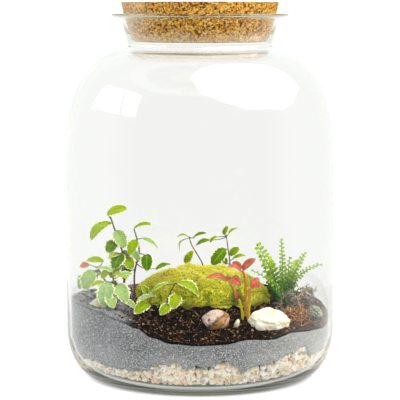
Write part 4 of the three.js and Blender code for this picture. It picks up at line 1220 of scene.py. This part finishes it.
bark_hue = variegated.mix((0.16, 0.085, 0.045), (0.20, 0.24, 0.04), along.ramp(0.3, 1.0))
bark_hue = variegated.mix(bark_hue, (0.30, 0.20, 0.12), cell.ramp(0.5, 0.7) * 0.6)
woody = across.ramp(1.5, 2.5)
variegated.surface(
    Base_Color=variegated.mix(leaf_hue, bark_hue, woody), Roughness=0.36 + cell * 0.25 + woody * 0.2,
    Specular_IOR_Level=0.05, Normal=variegated.relief(cell * 0.5 + vein_wave * 0.5, 0.0003),
)
draw = random.Random(41)
for name, stem in FIG_STEMS.items():
    growth = Shape()
    leafy_stem(growth, stem, draw, **FIG_HABIT)
    growth.make(name.replace("fig", "creeping_fig"), name, variegated)

# The red-leaved plant: three thick juicy stems, yellow-green to orange, with long pointed leaves,
# coral red along the middle and grey-green at their edges.
RED_HABIT = {"thin": 0.8, "knobs": 0.16, "teeth": 8, "tooth_depth": 0.03, "quilt": 0.12}
RED_STEMS = {
    "red_plant_left_stem": {
        "root": (43, -68), "radius": 1.5,
        "stem": [(42, -68, 80), (39, -69, 90), (31, -70, 106)],
        "leaves": [
            Leaf(103, (27, -72, 112), (6, -77, 113), 10, face=UPWARD),
            Leaf(104, (31, -71, 111), (41, -80, 106), 11, arch=0.25),
            Leaf(104, (34, -66, 106), (20, -60, 110), 9, face=UPWARD),
            Leaf(89, (38, -72, 90), (36, -75, 99), 6),
        ],
    },
    "red_plant_middle_stem": {
        "root": (46, -64), "radius": 1.5,
        "stem": [(46, -64, 82), (46, -65, 95), (46, -66, 109), (43, -67, 119)],
        "leaves": [
            Leaf(118, (43, -68, 120), (56, -73, 132), 9, face=(-0.6, -1, 0.6)),
            Leaf(117, (41, -68, 119), (28, -72, 124), 10, face=UPWARD),
            Leaf(117, (42, -63, 120), (33, -56, 126), 8),
        ],
    },
    "red_plant_right_stem": {
        "root": (49, -70), "radius": 1.9,
        "stem": [(49, -70, 78), (50, -70, 88), (50, -69, 101)],
        "leaves": [
            Leaf(99, (52, -70, 101), (63, -76, 104), 9, face=UPWARD),
            Leaf(99, (51, -66, 102), (60, -58, 110), 8),
        ],
    },
}

coral = Finish("red_plant_leaf")
where, across, along, tint = coral.reads()
edge = abs(across)
cloud = coral.grain(where, 0.004, 3)
cell = coral.grain(where, 0.0010, 2)
vein_wave = abs(((along * 8 - edge * 1.6) * math.tau * 0.5).wave())
red = coral.mix((0.60, 0.018, 0.006), (0.80, 0.14, 0.07), cloud.ramp(0.40, 0.70))
red = coral.mix(red, (0.20, 0.21, 0.08), (edge + (cloud - 0.5) * 0.9).ramp(0.35, 0.75) * 0.85)
ribbed = (1 - vein_wave.ramp(0, 0.2)) * 0.35 + (1 - edge.ramp(0.04, 0.10)) * 0.5
red = coral.mix(red, (0.86, 0.30, 0.20), ribbed)
flush = cloud * 0.7 + tint * 0.5
juicy = coral.mix((0.60, 0.56, 0.03), (0.66, 0.22, 0.03), flush.ramp(0.52, 0.80))
juicy = coral.mix(juicy, (0.66, 0.10, 0.06), along.ramp(0.75, 1.0) * 0.8)
stalk = across.ramp(1.5, 2.5)
coral.surface(
    Base_Color=coral.mix(red, juicy, stalk), Roughness=0.33 + cell * 0.2,
    Specular_IOR_Level=0.3, Normal=coral.relief(cell * 0.6 + vein_wave * 0.4, 0.00025),
)
draw = random.Random(43)
for name, stem in RED_STEMS.items():
    growth = Shape()
    leafy_stem(growth, stem, draw, **RED_HABIT)
    growth.make(name.replace("stem", "juicy_stem"), name, coral)

# The fern: a young button fern, its fronds thin wiry ribs with round leaflets in pairs, light
# green at their tips and deep green in the middle of the clump. They all grow from one crown.
FERN_ROOT = (90, 4)
FROND_BARE_SHARE = 0.12
FROND_CROWDING = 1.6
FROND_ARCH_STEPS = 22
LEAFLET_RIM = 14
LEAFLET_THICK = 0.35
LEAFLET_SHARE = 0.78
FRONDS = [
    {"root": (-5, 2), "tip": (60, 2, 136), "arch": 0.14, "width": 19, "pairs": 8, "face": (0.3, -1, 0.3)},
    {"root": (-1, 6), "tip": (86, 8, 141), "arch": 0.02, "width": 10, "pairs": 9, "face": (0.2, -1, 0.2)},
    {"root": (4, 5), "tip": (112, 12, 126), "arch": 0.18, "width": 11, "pairs": 8, "face": (-0.4, -1, 0.5)},
    {"root": (8, 1), "tip": (128, -3, 116), "arch": 0.31, "width": 12, "pairs": 9, "face": (-0.3, -0.7, 1)},
    {"root": (8, -8), "tip": (114, -24, 93), "arch": 0.24, "width": 9, "pairs": 5, "face": (0, -0.5, 1)},
    {"root": (-6, -3), "tip": (54, -12, 111), "arch": 0.2, "width": 9, "pairs": 6, "face": (0.2, -0.8, 1)},
    {"root": (-5, -8), "tip": (68, -28, 106), "arch": 0.25, "width": 10, "pairs": 5, "face": (0, -1, 0.7)},
    {"root": (4, -11), "tip": (100, -36, 100), "arch": 0.25, "width": 10, "pairs": 5, "face": (0, -1, 0.7)},
    {"root": (0, 1), "tip": (94, -9, 124), "arch": 0.1, "width": 10, "pairs": 6, "face": (0, -1, 0.4)},
    {"root": (-4, 7), "tip": (72, 30, 122), "arch": 0.15, "width": 11, "pairs": 7, "face": (0, -1, 0.5)},
    {"root": (4, 9), "tip": (104, 38, 114), "arch": 0.2, "width": 11, "pairs": 7, "face": (0, -0.6, 1)},
    {"root": (-10, -2), "tip": (63, -4, 126), "arch": 0.14, "width": 10, "pairs": 5, "face": (0, -1, 0.5)},
    {"root": (0, -3), "tip": (83, -22, 116), "arch": 0.12, "width": 10, "pairs": 5, "face": (0, -1, 0.5)},
]


def leaflet(shape, draw, root, way, up, length, width, note):
    """One leaflet: a rounded blade with a short neck, slightly cupped, closed on both faces."""
    side = way.cross(up)
    cup = draw.uniform(0.06, 0.22) * length
    rings = []
    for reach in (0.55, 1.0):
        rim = []
        for corner in range(LEAFLET_RIM):
            turn = corner * math.tau / LEAFLET_RIM
            forward, sideways = math.cos(turn), math.sin(turn)
            notch = 1 + 0.07 * math.cos(turn * 5 + note[2] * 6)
            spot = root + way * length * (0.5 + 0.5 * forward * reach)
            spot = spot + side * (width / 2) * sideways * reach * notch
            rim.append(spot + up * cup * reach ** 2 * (0.4 + 0.6 * abs(sideways)))
        rings.append(rim)
    start = len(shape.points)
    middle = root + way * length * 0.5
    points = [middle, *rings[0], *rings[1]]
    low = [point - up * LEAFLET_THICK for point in points]
    shades = [note] * (1 + LEAFLET_RIM) + [(note[0] + 0.5, note[1], note[2])] * LEAFLET_RIM
    shape.add([*points, *low], [], shades + shades)
    size = len(points)
    for corner in range(LEAFLET_RIM):
        a, b = 1 + corner, 1 + (corner + 1) % LEAFLET_RIM
        c, d = b + LEAFLET_RIM, a + LEAFLET_RIM
        for face in ((0, b, a), (a, b, c, d)):
            shape.faces.append(tuple(start + index for index in face))
            shape.faces.append(tuple(start + size + index for index in reversed(face)))
        shape.faces.append((start + d, start + c, start + size + c, start + size + d))


def frond(shape, sizes, draw):
    """One frond: an arched rib out of the crown, with its leaflets in pairs."""
    x, y = FERN_ROOT[0] + sizes["root"][0], FERN_ROOT[1] + sizes["root"][1]
    foot = Vector((x, y, soil_top(x, y) + 1.5))
    along = Vector(sizes["tip"]) - foot
    length = along.length
    along.normalize()
    up = Vector(sizes["face"]) - along * Vector(sizes["face"]).dot(along)
    up.normalize()
    across = along.cross(up)

    def rib(share):
        return foot + along * length * share + up * length * sizes["arch"] * 4 * share * (1 - share)

    arc = [rib(step / FROND_ARCH_STEPS) for step in range(FROND_ARCH_STEPS + 1)]
    line = [foot - Vector((0, 0, 6)), *arc]
    shares = [index / len(line) for index in range(len(line))]
    radii = [between(0.75, 0.3, share) for share in shares]
    tube(shape, line, radii, 6, [(STEM_NOTE, share, 0.5) for share in shares])
    pairs = round(sizes["pairs"] * FROND_CROWDING)
    for pair in range(pairs):
        rank = pair / pairs
        share = FROND_BARE_SHARE + (1 - FROND_BARE_SHARE) * (pair + 0.5) / pairs
        reach = sizes["width"] / 2 * (1.05 - 0.6 * rank ** 1.5)
        step = length * (1 - FROND_BARE_SHARE) / pairs
        for side in (-1, 1):
            sway = draw.uniform(-0.12, 0.12)
            way = (across * side + along * (0.28 + sway) + up * draw.uniform(-0.25, 0.45)).normalized()
            face = (up - way * up.dot(way)).normalized()
            root = rib(min(share + 0.3 * step * side / length, 1)) + way * 0.15
            wide = min(step * LEAFLET_SHARE, reach * 0.75)
            long = reach * draw.uniform(0.9, 1.04)
            leaflet(shape, draw, root, way, face, long, wide, (0, rank, draw.random()))
    end = rib(1)
    leaflet(shape, draw, end - along * 1.4, along, up, 2.6, 2.0, (0, 1, draw.random()))


fresh = Finish("button_fern")
where, across, rank, tint = fresh.reads()
cell = fresh.grain(where, 0.0012, 2)
cloud = fresh.grain(where, 0.007, 2)
height = fresh.parts(where)[2]
young = (rank * 0.7 + (height - 0.095) * 16 + (cloud - 0.5) * 0.6).ramp(0.1, 1.0)
leafy = fresh.mix((0.045, 0.20, 0.010), (0.50, 0.68, 0.02), young)
leafy = fresh.mix(leafy, (0.64, 0.80, 0.08), tint.ramp(0.6, 1.0) * young)
leafy = fresh.mix(leafy, (0.30, 0.52, 0.07), across.ramp(0.2, 0.5) * 0.3)
wiry = fresh.mix((0.10, 0.065, 0.03), (0.14, 0.26, 0.05), rank.ramp(0.2, 0.8))
fresh.surface(
    Base_Color=fresh.mix(leafy, wiry, across.ramp(1.5, 2.5)), Roughness=0.4 + cell * 0.25,
    Specular_IOR_Level=0.25, Normal=fresh.relief(cell, 0.0003),
)
draw = random.Random(47)
for index, sizes in enumerate(FRONDS):
    growth = Shape()
    frond(growth, sizes, draw)
    growth.make(f"button_fern_frond_{index + 1}", f"fern_frond_{index + 1}", fresh)

# The dry clump at the right: a mat of reddish bark fibre with chips in it, a tuft of grey-green
# lichen that leans on the glass, and dead grey rootlets that loop out of the soil behind them.
MAT = {"centre": (97, -59, 68), "size": (26, 30, 17), "turn": (0, 0.1, 0.2), "seed": 3}
TUFT = {"centre": (117, -46, 69), "size": (14, 19, 17), "turn": (0.1, 0, 0.4), "seed": 9}
MAT_FIBRES = 900
MAT_FIBRE_TAPER = (0.7, 1, 1, 0.9, 0.7, 0.4)
MAT_CHIPS = 46
CHIP_FORMS = 8
LICHEN_LOBES = 360
ROOT_LOOPS = [
    [(84, -38), (84, -39, 84), (91, -42, 91), (99, -41, 87), (100, -39, 80)],
    [(94, -27), (95, -27, 80), (103, -30, 86), (110, -27, 84), (112, -26, 78)],
    [(115, -24), (115, -24, 82), (117, -25, 94)],
    [(104, -12), (104, -12, 82), (112, -8, 90), (119, -9, 84)],
]
ROOT_RADIUS = 0.85
ROOTLETS = 84


def on_lump(lump, draw):
    """A random point on the upper side of a lump, and the way out of it."""
    way = Vector((draw.gauss(0, 1), draw.gauss(0, 1), abs(draw.gauss(0, 1)))).normalized()
    half = [length / 2 for length in lump["size"]]
    return Vector(lump["centre"]) + stretched(way, half) * 0.9, way


draw = random.Random(53)
mat = Shape()
stone_body(mat, MAT, fineness=4, roughness=0.5)
mat.points = [tuple(inside_jar(Vector(point))) for point in mat.points]
mat.notes = [(0.15, 0.2, 0)] * len(mat.points)
for _ in range(MAT_FIBRES):
    start, way = on_lump(MAT, draw)
    heading = way.cross(jolt(draw)) + way * 0.25
    line = wander(draw, start, heading, length=draw.uniform(4, 10), steps=5, curl=0.35)
    line = resting(line, soil_top, 0.4)
    thick = draw.uniform(0.16, 0.42)
    radii = [thick * share for share in MAT_FIBRE_TAPER]
    tube(mat, line, radii, 4, [(draw.random(), 0.5, 1)] * len(line))
chip_forms = [stone_chip(draw, 8) for _ in range(CHIP_FORMS)]
for _ in range(MAT_CHIPS):
    start, way = on_lump(MAT, draw)
    spread = (draw.uniform(2, 5), draw.uniform(1.5, 3), draw.uniform(0.6, 1.2))
    lay(mat, draw.choice(chip_forms), inside_jar(start, 3), spread, draw, (draw.random(), 0.5, 1))

fibrous = Finish("reddish_bark_fibre")
where, kind, shade, _ = fibrous.reads()
strand = fibrous.grain(where, 0.0016, 4, 0.6)
fibre_hue = fibrous.colours(
    kind,
    (0.0, (0.06, 0.018, 0.006)), (0.30, (0.28, 0.10, 0.030)), (0.6, (0.52, 0.22, 0.06)),
    (0.82, (0.74, 0.42, 0.16)), (1.0, (0.90, 0.70, 0.44)),
)
fibrous.surface(
    Base_Color=fibrous.mix(fibre_hue, (0.02, 0.012, 0.01), strand.ramp(0.55, 0.75) * 0.7),
    Roughness=0.85 - shade * 0.2, Specular_IOR_Level=0.0, Normal=fibrous.relief(strand, 0.0008),
)
mat.make("bark_fibre_mat", "bark_mat", fibrous)

tuft = Shape()
stone_body(tuft, TUFT, fineness=3, roughness=0.5)
middle = Vector(TUFT["centre"])
tuft.points = [tuple(inside_jar(middle + (Vector(point) - middle) * 0.8)) for point in tuft.points]
tuft.notes = [(0, 0.1, 0.5)] * len(tuft.points)
for _ in range(LICHEN_LOBES):
    start, way = on_lump(TUFT, draw)
    start = middle + (start - middle) * 0.86
    lean = (way + Vector((draw.gauss(0, 0.5), draw.gauss(0, 0.5), draw.gauss(0.2, 0.4)))).normalized()
    face = lean.orthogonal().normalized()
    size = draw.uniform(1.6, 4.6)
    wide = size * draw.uniform(0.6, 1.1)
    before = len(tuft.points)
    leaflet(tuft, draw, start - lean * 0.6, lean, face, size, wide, (0, 0.6, draw.random()))
    for index in range(before, len(tuft.points)):
        x, y, z = tuft.points[index]
        crinkle = 0.5 * rough(x, y, z, 1.3, 2)
        bent = Vector((x + crinkle, y - crinkle, z + 0.4 * rough(x, y, z, 1.1, 7)))
        tuft.points[index] = tuple(inside_jar(bent))

crisp = Finish("grey_green_lichen")
where, ring_out, height_share, tint = crisp.reads()
crust = crisp.grain(where, 0.0012, 4, 0.6)
lichen_hue = crisp.mix((0.13, 0.15, 0.09), (0.44, 0.47, 0.32), tint)
lichen_hue = crisp.mix(lichen_hue, (0.62, 0.66, 0.52), ring_out.ramp(0.2, 0.5) * 0.6)
in_light = (height_share * 1.6 * crust + 0.2).ramp(0.2, 0.6)
crisp.surface(
    Base_Color=crisp.mix((0.05, 0.055, 0.045), lichen_hue, in_light), Roughness=0.7 + crust * 0.25,
    Specular_IOR_Level=0.15, Normal=crisp.relief(crust, 0.0005),
)
tuft.make("lichen_lobes", "lichen_tuft", crisp)

withered = Finish("withered_root")
where, _, share, tint = withered.reads()
grain = withered.grain(where, 0.0014, 4, 0.6)
root_hue = withered.mix((0.075, 0.055, 0.045), (0.34, 0.29, 0.27), grain.ramp(0.35, 0.65))
root_hue = withered.mix(root_hue, (0.72, 0.50, 0.30), tint.ramp(0.62, 0.8))
root_hue = withered.mix((0.30, 0.34, 0.34), root_hue, tint.ramp(0.14, 0.26))
withered.surface(
    Base_Color=withered.mix(root_hue, (0.06, 0.04, 0.03), grain.ramp(0.6, 0.8) * 0.8),
    Roughness=0.8 + share * 0.1, Specular_IOR_Level=0.15, Normal=withered.relief(grain, 0.0006),
)
draw = random.Random(59)
for number, (root, *route) in enumerate(ROOT_LOOPS):
    tangle = Shape()
    x, y = root
    ground = soil_top(x, y)
    line = smooth_line([(x, y, ground - 5), (x, y, ground + 1), *route], 6)
    shares = [index / len(line) for index in range(len(line))]
    radii = [ROOT_RADIUS * between(1, 0.6, share) * draw.uniform(0.8, 1.15) for share in shares]
    tube(tangle, line, radii, 8, [(0, share, 0.2) for share in shares])
    for _ in range(ROOTLETS):
        start = draw.choice(line[6:-2])
        heading = (draw.gauss(0, 1), draw.gauss(0, 1), draw.gauss(0.2, 0.6))
        curl = wander(draw, start, heading, length=draw.uniform(4, 12), steps=9, curl=0.55)
        curl = resting(curl, soil_top, 0.5)
        thick = draw.uniform(0.25, 0.55)
        sizes = [thick * between(1, 0.5, index / 9) for index in range(10)]
        tube(tangle, curl, sizes, 5, [(0, 0.5, draw.random())] * 10)
    tangle.make(f"withered_root_{number + 1}", f"dead_root_{number + 1}", withered)

# The lid: a tapered plug of pressed cork granules, paler low down and at its left. It rests in the
# jar's neck, on the same body as the jar.
CORK_COLUMNS = 300
CORK_SIDE_ROWS = 34
CORK_TOP_ROWS = 56
CORK_BEVEL = 1.2
CORK_EDGE = 0.35
CORK_PIT = 0.75


def cork_pit(x, y, z):
    """How deep the surface lies below the mould's face: whole granules, gaps between them."""
    near = noise.voronoi(Vector((x / 4.2, y / 4.2, z / 4.2)))[0]
    seam = 1 - min((near[1] - near[0]) * 3.2, 1)
    return CORK_PIT * (0.75 * seam ** 2 + 0.25 * (1 + rough(x, y, z, 1.6)))


side_height = CORK_TOP - CORK_BOTTOM - 2 * CORK_BEVEL
side_heights = [
    CORK_BOTTOM + CORK_BEVEL + side_height * row / CORK_SIDE_ROWS for row in range(CORK_SIDE_ROWS + 1)
]
top_shares = [(1 - row / CORK_TOP_ROWS) ** 0.9 for row in range(CORK_TOP_ROWS)]
cork_profile = [
    *[(reach, CORK_BOTTOM) for reach in (0.5, 20, 40, 58, 68)],
    (CORK_BOTTOM_RADIUS - CORK_BEVEL, CORK_BOTTOM),
    (cork_radius(CORK_BOTTOM + CORK_EDGE) - CORK_EDGE, CORK_BOTTOM + CORK_EDGE),
    *[(cork_radius(height), height) for height in side_heights],
    (cork_radius(CORK_TOP - CORK_EDGE) - CORK_EDGE, CORK_TOP - CORK_EDGE),
    *[((CORK_TOP_RADIUS - CORK_BEVEL) * share + 0.5, CORK_TOP) for share in top_shares],
    (0.5, CORK_TOP),
]
plug = Shape()
cork_rows = []
for radius, height in cork_profile:
    row = []
    for x, y, _ in ring(radius, CORK_COLUMNS):
        pit = cork_pit(x, y, height)
        flat_top = height >= CORK_TOP - 0.01
        flat_bottom = height <= CORK_BOTTOM + 0.01
        inward = 1 if flat_top or flat_bottom else (radius - pit) / radius
        row.append((x * inward, y * inward, height - pit * flat_top + pit * flat_bottom))
    cork_rows.append(row)
plug.grid(cork_rows, closed=True)

pressed = Finish("pressed_cork")
where = pressed.place()
crumpled = pressed.node("ShaderNodeVectorMath", {"operation": "MULTIPLY_ADD"}, {
    0: pressed.grain(where, 0.0011, 3, 0.6, "Color"), 1: (0.0016, 0.0016, 0.0016), 2: where,
})
granule = pressed.parts(pressed.cells(crumpled, 0.0015, "Color"))
seam = pressed.cells(crumpled, 0.0015, "Distance", "DISTANCE_TO_EDGE")
fine = pressed.grain(where, 0.0009, 4, 0.65)
spot = pressed.parts(pressed.cells(crumpled, 0.0016, "Color"))[2]
cork_hue = pressed.colours(
    granule[0],
    (0.0, (0.16, 0.05, 0.009)), (0.2, (0.60, 0.24, 0.025)), (0.55, (0.94, 0.44, 0.045)),
    (0.85, (1.0, 0.72, 0.24)), (1.0, (0.38, 0.13, 0.015)),
)
cork_hue = pressed.mix(cork_hue, (0.05, 0.016, 0.006), spot.ramp(0.78, 0.82) * 0.95)
cork_hue = pressed.mix(cork_hue, (0.16, 0.06, 0.02), (1 - seam.ramp(0.0, 0.12)) * 0.5)
cork_x, _, cork_z = pressed.parts(where)
cloudy = pressed.grain(where, 0.02, 2)
low_band = 1 - (cork_z + (cloudy - 0.5) * 0.02).ramp(0.350, 0.362)
left_part = 1 - cork_x.ramp(-0.066, -0.046)
cork_hue = pressed.mix(cork_hue, (0.94, 0.76, 0.58), (low_band * 0.5 + left_part * 0.3).ramp(0, 1))
bumps = fine * 0.5 + granule[1] * 0.2 + seam.ramp(0, 0.15) * 0.3
pressed.surface(
    Base_Color=pressed.mix(cork_hue, (1.0, 0.68, 0.28), fine.ramp(0.58, 0.75) * 0.5),
    Roughness=0.75 + fine * 0.2, Specular_IOR_Level=0.0, Normal=pressed.relief(bumps, 0.0008),
)
plug.make("pressed_cork_lid", "cork_lid", pressed)
